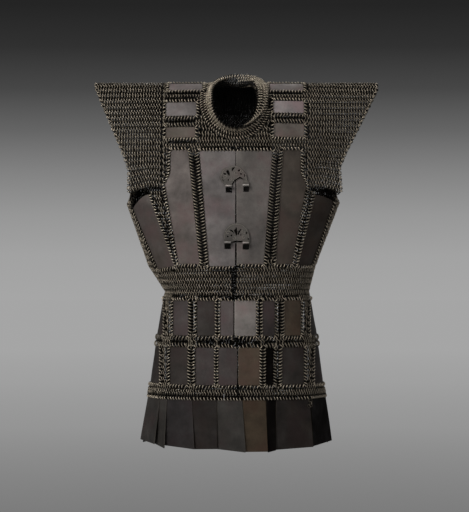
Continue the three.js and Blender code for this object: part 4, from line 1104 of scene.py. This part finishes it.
def rounded(points, rounds=2):
    """A closed outline with its corners cut back, once in each round."""
    path = np.array(points, float)
    for _ in range(rounds):
        ahead = np.roll(path, -1, axis=0)
        path = np.stack([path * 0.75 + ahead * 0.25, path * 0.25 + ahead * 0.75], 1).reshape(-1, 2)
    return path


# Outlines in millimetres from the middle between the tabs; legs run down behind the tabs' rolled tops
CLASPS = {
    "upper_clasp": {
        "tabs": (-16, 23), "drop": 223,
        "outline": [
            (-27, -5), (-29, 0), (-34, 5), (-37.5, 10), (-39, 15), (-37.6, 19), (-35, 21.5), (-35.5, 26),
            (-32.5, 31), (-28, 34.2), (-23, 35), (-20.5, 34.4), (-17, 37.6), (-11, 39.6), (-7, 38.2),
            (-2, 39), (4, 37), (7.5, 33.6), (10.5, 31.6), (14.5, 27), (16, 23), (19.4, 21.5),
            (19.6, 15), (21.4, 8), (25, 3), (25, -5), (14.4, -5), (14.2, 3.4), (14.6, 10.6),
            (11.6, 13.4), (8.6, 14.6), (5.2, 16),
            (1.4, 13.6), (-4.6, 10.4), (-8.6, 6.4), (-11.8, 0.4), (-14, -5)],
        "holes": [
            rounded([(-25.6, 30.4), (-23.4, 26.8), (-20.6, 31.2), (-17.6, 25), (-16.4, 17.6),
                     (-20.4, 18.4)]),
            rounded([(-6.4, 36.2), (-9.6, 35.4), (-12.4, 31.4), (-11.8, 27.4), (-9.4, 27.6), (-9, 31.4),
                     (-6, 33.8)]),
            oval(-27.4, 21.6, 3.4, 1.3, -24), oval(-32.6, 7.6, 3.8, 1.0, -38), oval(3.6, 29.0, 2.1, 1.4, 40),
            oval(7.6, 21.4, 1.5, 1.5), oval(15.8, 18.6, 0.9, 4.0), oval(-19.5, 8.5, 1.1, 1.1),
            oval(-31.5, 14.5, 1.2, 0.8, 30)],
        "ribs": [(-27, 14, 4.6, 0.4), (-2, 22, 5.2, 1.2), (-14, 10.5, 4.2, 3.4), (9.5, 27.2, 3.4, 2.0)],
    },
    "lower_clasp": {
        "tabs": (-17.5, 24), "drop": 349,
        "outline": [
            (-27.4, -4.5), (-28.6, 3), (-30, 9), (-28.9, 18.4), (-25.4, 27.2), (-19.6, 34.2), (-11.6, 38.6),
            (-1.8, 40.2), (8.1, 38.6), (15.9, 34), (21.6, 27.2), (25.1, 18.6), (26.4, 9), (26.2, 2),
            (25, -4.5), (14.6, -4.5), (13.8, -0.6), (11, 2.6), (4.8, 1.6), (-2.4, 2.8), (-9.5, 0.4),
            (-14.6, -1.6), (-15.6, -4.5)],
        "holes": [
            rounded([(-2.4, 34), (-4.2, 26.5), (-8, 25), (-4.6, 19), (-3.2, 13.6), (-1.0, 13.6), (0, 18),
                     (-0.6, 26)]),
            rounded([(1.4, 14), (0.8, 18), (3.4, 24), (8, 27.6), (9.4, 26), (5, 21), (3.2, 15)]),
            rounded([(-8.2, 16.6), (-10.8, 21.4), (-17, 24.4), (-16.4, 26.4), (-10.6, 24.6), (-7.4, 19)]),
            oval(-12.8, 13.4, 1.6, 1.6), oval(-20.9, 11.2, 1.5, 1.4), oval(7.7, 14.3, 0.9, 0.9),
            oval(20.4, 18.9, 1.2, 2.5), oval(23.6, 6.0, 0.9, 2.4)],
        "ribs": [(-20.5, 19, 4.6, 0.4), (14.5, 21, 5.0, 2.2), (-6, 8.4, 4.0, 3.4), (13.6, 9.0, 4.0, 1.2)],
    },
}
CLASP_LOW, CLASP_THICK, CLASP_BEVEL, ROD_SIDES = 2.6, 1.3, 0.35, 6
# Wire radius of the bead, ribs and feet; the bead's share of the outline; half length and y of the feet
BEAD_R, RIB_R, FOOT_R, BEAD_SHARE, FOOT_HALF, FOOT_Y = 0.45, 0.75, 0.9, 0.93, 5.2, -3.6
# The painted shadow behind a clasp, a near-black sheet that darkens its piercings and shows as a shadow line
# below it: its share of the outline, shift, lowest edge, thickness and height
PAINTED_SHADOW_SHARE, PAINTED_SHADOW_DROP, PAINTED_SHADOW_FOOT, PAINTED_SHADOW_THICK, PAINTED_SHADOW_HIGH = 0.95, (0.5, -3.2), -1.5, 0.5, 1.4


def widened(hole, by=0.75):
    """A piercing grown outwards, which makes up for the softened edge and reads as dark."""
    path = np.array(hole)
    return path + unit(path - path.mean(0)) * by


def rod_mesh(name, path, radius):
    """A round wire along a flat path."""
    path = np.array(path, float)
    tangent = unit(np.gradient(path, axis=0))
    e1 = unit(np.cross((0.0, 0.0, 1.0), tangent))
    e2 = np.cross(tangent, e1)
    angle = np.arange(ROD_SIDES) * TURN / ROD_SIDES
    points = path[:, None] + radius * (np.cos(angle)[None, :, None] * e1[:, None]
                                       + np.sin(angle)[None, :, None] * e2[:, None])
    last = (len(path) - 1) * ROD_SIDES
    ring = [(b, (b + 1) % ROD_SIDES) for b in range(ROD_SIDES)]
    faces = [(a + b, a + ROD_SIDES + b, a + ROD_SIDES + c, a + c) for a in range(0, last, ROD_SIDES)
             for b, c in ring]
    faces += [tuple(range(ROD_SIDES))[::-1], tuple(last + b for b in range(ROD_SIDES))]
    return new_mesh(name, points.reshape(-1, 3), faces, SHEET["clasp"])


def join(name, meshes, rims):
    """One mesh from several that share a material; rims says how light each is rubbed."""
    verts, faces, smooth, rim = [], [], [], []
    for mesh, light in zip(meshes, rims):
        rim += [light] * len(mesh.vertices)
        base = len(verts)
        verts += [tuple(v.co) for v in mesh.vertices]
        faces += [tuple(base + i for i in p.vertices) for p in mesh.polygons]
        smooth += [p.use_smooth for p in mesh.polygons]
    joined = bpy.data.meshes.new(name)
    joined.from_pydata(verts, [], faces)
    joined.polygons.foreach_set("use_smooth", smooth)
    joined.materials.append(meshes[0].materials[0])
    mark(joined, rim=rim)
    return joined


def clasp_mesh(name, facts):
    """A pierced plaque on two legs, with a rim bead and small spiral ribs."""
    path = rounded(facts["outline"], 1)
    plaque = curve_mesh(name, [path, *map(widened, facts["holes"])], CLASP_THICK - 0.7, CLASP_BEVEL,
                        SHEET["clasp"])
    plaque.transform(Matrix.Translation((0, 0, (CLASP_LOW + CLASP_THICK / 2) * MM)))
    middle = np.array((np.mean([x for x, _ in path]), 14.0))
    rods = [([middle + (point - middle) * BEAD_SHARE for point in path if point[1] > 4], BEAD_R)]
    for x, y, size, start in facts["ribs"]:
        turns = np.linspace(0, 5.4, 22)
        u, v = (size * shape(start + turns) * (1 - turns / 8) for shape in (np.cos, np.sin))
        rods.append((zip(x + u, y + v), RIB_R))
    top = CLASP_LOW + CLASP_THICK
    parts = [plaque]
    for line, radius in rods:
        parts.append(rod_mesh(name + "_rod", [(x, y, top) for x, y in line], radius))
    for x in facts["tabs"]:
        x -= sum(facts["tabs"]) / 2
        foot = [(x + reach, FOOT_Y, CLASP_LOW) for reach in (-FOOT_HALF, FOOT_HALF)]
        parts.append(rod_mesh(name + "_foot", foot, FOOT_R))
    return join(name, parts, [0.0] + [1.0] * (len(parts) - 1))


for name, facts in CLASPS.items():
    seat = face_frame(sum(facts["tabs"]) / 2, facts["drop"])
    mesh = clasp_mesh(name, facts)
    mesh.transform(seat)
    put(f"{name}_brass", mesh, name, [name])
    # painted shadow: a near-black sheet behind the clasp darkens its piercings, and, shifted down, shows as
    # a shadow line below the plaque
    path = rounded(facts["outline"], 1)
    middle = path.mean(0)
    path = middle + (path - middle) * PAINTED_SHADOW_SHARE + PAINTED_SHADOW_DROP
    path[:, 1] = np.maximum(path[:, 1], PAINTED_SHADOW_FOOT)
    painted_shadow = curve_mesh(name + "_backing", [path], PAINTED_SHADOW_THICK, 0.1, SHEET["shadowed"])
    mark(painted_shadow, rim=np.zeros(len(painted_shadow.vertices)))
    painted_shadow.transform(seat @ Matrix.Translation((0, 0, PAINTED_SHADOW_HIGH * MM)))
    put(f"{name}_backing", painted_shadow, name)

# Hem lames

# Left and right edge at the top and at the bottom, length at the left and right, flare, look
FRONT_LAMES = [
    ("left", -165.4, -16, -1.5, 96, 100, 8, "lame_pale"),
    (-164.6, -149.4, -1.6, -3, 99, 108, 6, "lame_pale"),
    (-148.5, -94.4, 1, 6.8, 101, 107, 4, "lame_cool"),
    (-93.6, -40.9, 6.6, 0.4, 107, 106, 4, "lame"),
    (-40.1, 13.9, 0.3, 7.2, 106, 113, 3, "lame_pale"),
    (14.7, 64.3, 7.2, 2.2, 112, 112, 3, "lame_brown"),
    (65.1, 86.2, 2.4, -4.2, 114, 110, 3, "shadowed"),
    (87.0, 160.4, -4.4, 3.2, 109, 105, 4, "lame"),
    (161.2, "right", 3.2, 8, 104, 98, 6, "shadowed"),
]
LAME_SIDES = {"left": math.pi + math.radians(2), "right": TURN - math.radians(2)}
LAME_THICK, LAME_GAP, TWIST, BACK_LAMES = 1.4, -0.8, 2.4, 9


def lame_end(value):
    """An upper corner of a lame, at an x or at the coat's left or right side."""
    angle = LAME_SIDES[value] if value in LAME_SIDES else angle_of("front", value, SKIRT)
    return body_point(angle, SKIRT)


def lame_axes(start, end, flare):
    """Upper left corner, rightward, upward and outward directions and width of a lame."""
    right = unit(end - start)
    level_out = np.cross(right, (0, 0, 1.0))
    tilt = math.radians(flare)
    up = np.array((0, 0, math.cos(tilt))) - level_out * math.sin(tilt)
    corner = start + level_out * 0.6
    corner[2] = -SKIRT - 0.5
    return corner, right, up, np.cross(right, up), float(np.linalg.norm(end - start))


def lame_patch(k, start, end, bottom_left, bottom_right, left_length, right_length, flare):
    """A lame's surface over shares u to the right and v up, a little curled and twisted."""
    corner, right, up, out, width = lame_axes(start, end, flare)

    def place(u, v):
        u, low = np.asarray(u, float), 1 - np.asarray(v, float)
        x = u * width + along((bottom_left, bottom_right), u) * low
        curl = (1.1 * np.sin(low * 2.2 + k) + TWIST * (2 * u - 1)) * low
        fall = low * along((left_length, right_length), u)
        return corner + right * x[..., None] - up * fall[..., None] + out * curl[..., None]

    return place


lames = [[lame_end(left), lame_end(right), *rest] for left, right, *rest in FRONT_LAMES]
behind = body_point(np.linspace(0, math.pi, 481), SKIRT)
length_behind = run(behind)
pitch = length_behind[-1] / BACK_LAMES
for k in range(BACK_LAMES):
    start, end = (np.searchsorted(length_behind, (k + share) * pitch) for share in (0.004, 0.996))
    length = 102 + 4 * math.sin(k * 2.3)
    lames.append([behind[start], behind[min(end, len(behind) - 1)], -1.5, 1.5, length, length + 2, 5,
                  "lame" if k % 3 else "lame_brown"])

# The lower corners of neighbours in front are drawn together, so that no gap opens between them
for one, two in zip(lames, lames[1:len(FRONT_LAMES)]):
    corner, right, up, out, width = lame_axes(one[0], one[1], one[6])
    low_right = corner + right * (width + one[3]) - up * one[5] + out * TWIST
    corner, next_right, up, out, _ = lame_axes(two[0], two[1], two[6])
    low_left = corner + next_right * two[2] - up * two[4] - out * TWIST
    gap = low_left[0] - low_right[0] - LAME_GAP
    one[3] += gap / 2 / right[0]
    two[2] -= gap / 2 / next_right[0]

for k, (*facts, look) in enumerate(lames):
    name = f"hem_lame_{k + 1:02d}"
    place = lame_patch(k, *facts)
    mesh = grid_plate(name, place, look, 1.5, 0.7, 120 + k, step=4.0, thick=(0.0, LAME_THICK))
    put(f"{name}_metal", mesh, name, [name])
    rings = Rings()
    edge_rings(rings, place, "t", reach=7.6, lift=0.7)
    put_rings(f"{name}_links", rings, name)

# A short end of loose links that hangs before the lames on the right
loose = body_point(angle_of("front", 163.0, SKIRT), SKIRT) + np.array((0, -9.0, 0))
hang = loose + np.array([(0.3, 0, -4), (-0.8, -0.8, -9.5), (1.6, -1.6, -13.5), (-2.6, -2.2, -16)])
rings = Rings()
rings.add(hang, np.array([(0.2, -1, 0.1), (-0.5, -1, 0), (0.3, -1, 0.2), (-0.1, -1, 0)], float),
          np.tile((0.0, -1.0, 0.0), (4, 1)), 3.9, 0.95)
put_rings("hem_lame_08_loose_links", rings, "hem_lame_08")

# Pieces of mail; a strip at a seam is left in place on no body, between the body and the front that opens

for key, rings in zones.items():
    if "_seam_" in key:
        side, part = key.split("_seam_")
        seam, sign = (LEFT_SEAM, 1) if side == "left" else (RIGHT_SEAM, -1)
        top, bottom = SEAM_PARTS[int(part) - 1]
        x0, x1 = float(read(seam, top + 1)), float(read(seam, bottom - 1))
        middle = np.array(((x0 + x1) / 2, 0, -(top + bottom) / 2))
        toward = unit(np.array((bottom - top, 0, x1 - x0), float)) * sign
        start, end = (tuple((middle + toward * d) * MM) for d in (-SEAM_HALF, SEAM_HALF))
        put_rings(f"{side}_seam_mail_{part}", rings, None, blend=("body", f"{side}_front", start, end))
    else:
        put_rings(f"{key}_rings", rings, key if key.endswith("_front") else "body", [f"{key}_mail"])

# Floor, light and camera

FLOOR_Z, FLOOR_RADIUS = -1.25, 40.0


def seen_rays(nodes):
    """1 for the rays that show a background: camera, glossy and transmission rays."""
    rays = nodes.add("LightPath").node
    total = rays.outputs["Is Camera Ray"]
    for name in ("Is Glossy Ray", "Is Transmission Ray"):
        total = nodes.add("Math", 0, {0: total, 1: rays.outputs[name]}, operation="MAXIMUM")
    return total


def show(nodes, output, factor, a, b):
    """Mixes two shaders by a factor and feeds them to the output of the tree."""
    mixed = nodes.add("MixShader", 0, {0: factor, 1: a, 2: b})
    nodes.feed(nodes.tree.nodes[output].inputs["Surface"], mixed)


def greys(*stops):
    return [(place, (value, value, value)) for place, value in stops]


bpy.ops.mesh.primitive_circle_add(
    vertices=96, radius=FLOOR_RADIUS, fill_type="NGON", location=(0, 0, FLOOR_Z))
floor = bpy.context.object
floor.name = "floor"
material, nodes, shader = new_material("floor", 0.0)
nodes.feed(shader.inputs["Base Color"], (0.55, 0.55, 0.55))
nodes.feed(shader.inputs["Roughness"], 0.9)
# The floor keeps the object's shadow near it and runs into the backdrop's tone further out
distance = nodes.add("VectorMath", "Value", {0: nodes.place}, operation="LENGTH")
glow = nodes.add("Emission", 0, {"Color": nodes.ramp(nodes.fit(distance, 2.5, 16.0), greys(
    (0.0, 0.195), (0.13, 0.240), (0.30, 0.298), (0.60, 0.346), (1.0, 0.378)))})
fade = nodes.add("Math", 0, {0: nodes.fit(distance, 1.2, 2.6), 1: seen_rays(nodes)}, operation="MULTIPLY")
show(nodes, "Material Output", fade, shader.outputs[0], glow)
floor.data.materials.append(material)

# The backdrop that camera, gloss and glass see; lamps and a plain world light the object
world = bpy.data.worlds.new("studio")
nodes = Nodes(world, "Generated")
lit = nodes.tree.nodes["Background"]
nodes.feed(lit.inputs["Color"], (0.75, 0.77, 0.80))
nodes.feed(lit.inputs["Strength"], 0.30)
rise = nodes.fit(nodes.add("SeparateXYZ", "Z", {0: nodes.place}), -0.02, 0.12)
seen = nodes.add("Background", 0, {"Color": nodes.ramp(rise, greys(
    (0.0, 0.384), (0.143, 0.362), (0.27, 0.308), (0.404, 0.222), (0.536, 0.128), (0.666, 0.062),
    (0.797, 0.030), (0.926, 0.018)))})
show(nodes, "World Output", seen_rays(nodes), lit.outputs[0], seen)
bpy.context.scene.world = world


def area_light(name, location, target, size, power):
    data = bpy.data.lights.new(name, "AREA")
    data.size = size
    data.energy = power
    obj = bpy.data.objects.new(name, data)
    bpy.context.scene.collection.objects.link(obj)
    obj.location = location
    obj.rotation_mode = "QUATERNION"
    obj.rotation_quaternion = (Vector(target) - Vector(location)).to_track_quat("-Z", "Y")


area_light("key", (-1.7, -2.2, 1.5), (0, 0, -0.2), 1.5, 78)
area_light("fill", (2.2, -2.6, 0.3), (0, 0, -0.4), 1.8, 7)
area_light("rim", (0.9, 2.6, 1.6), (0, 0, -0.3), 1.5, 22)

# The picture is as high as the photo: 512 pixels of 2.2 mm at this distance
DISTANCE, SENSOR, VIEW_PIXELS, PIXEL_MM = 5.0, 36, 512, 2.2
camera_data = bpy.data.cameras.new("camera")
camera = bpy.data.objects.new("camera", camera_data)
bpy.context.scene.collection.objects.link(camera)
camera.location = (-0.003, -0.055 - DISTANCE, -0.38)
camera.rotation_euler = (math.radians(90), 0, 0)
camera_data.sensor_width = SENSOR
camera_data.sensor_fit = "AUTO"
camera_data.lens = SENSOR * DISTANCE / (VIEW_PIXELS * PIXEL_MM * MM)
camera_data.clip_start, camera_data.clip_end = 0.1, 50
bpy.context.scene.camera = camera
bpy.context.scene.view_settings.view_transform = "Standard"
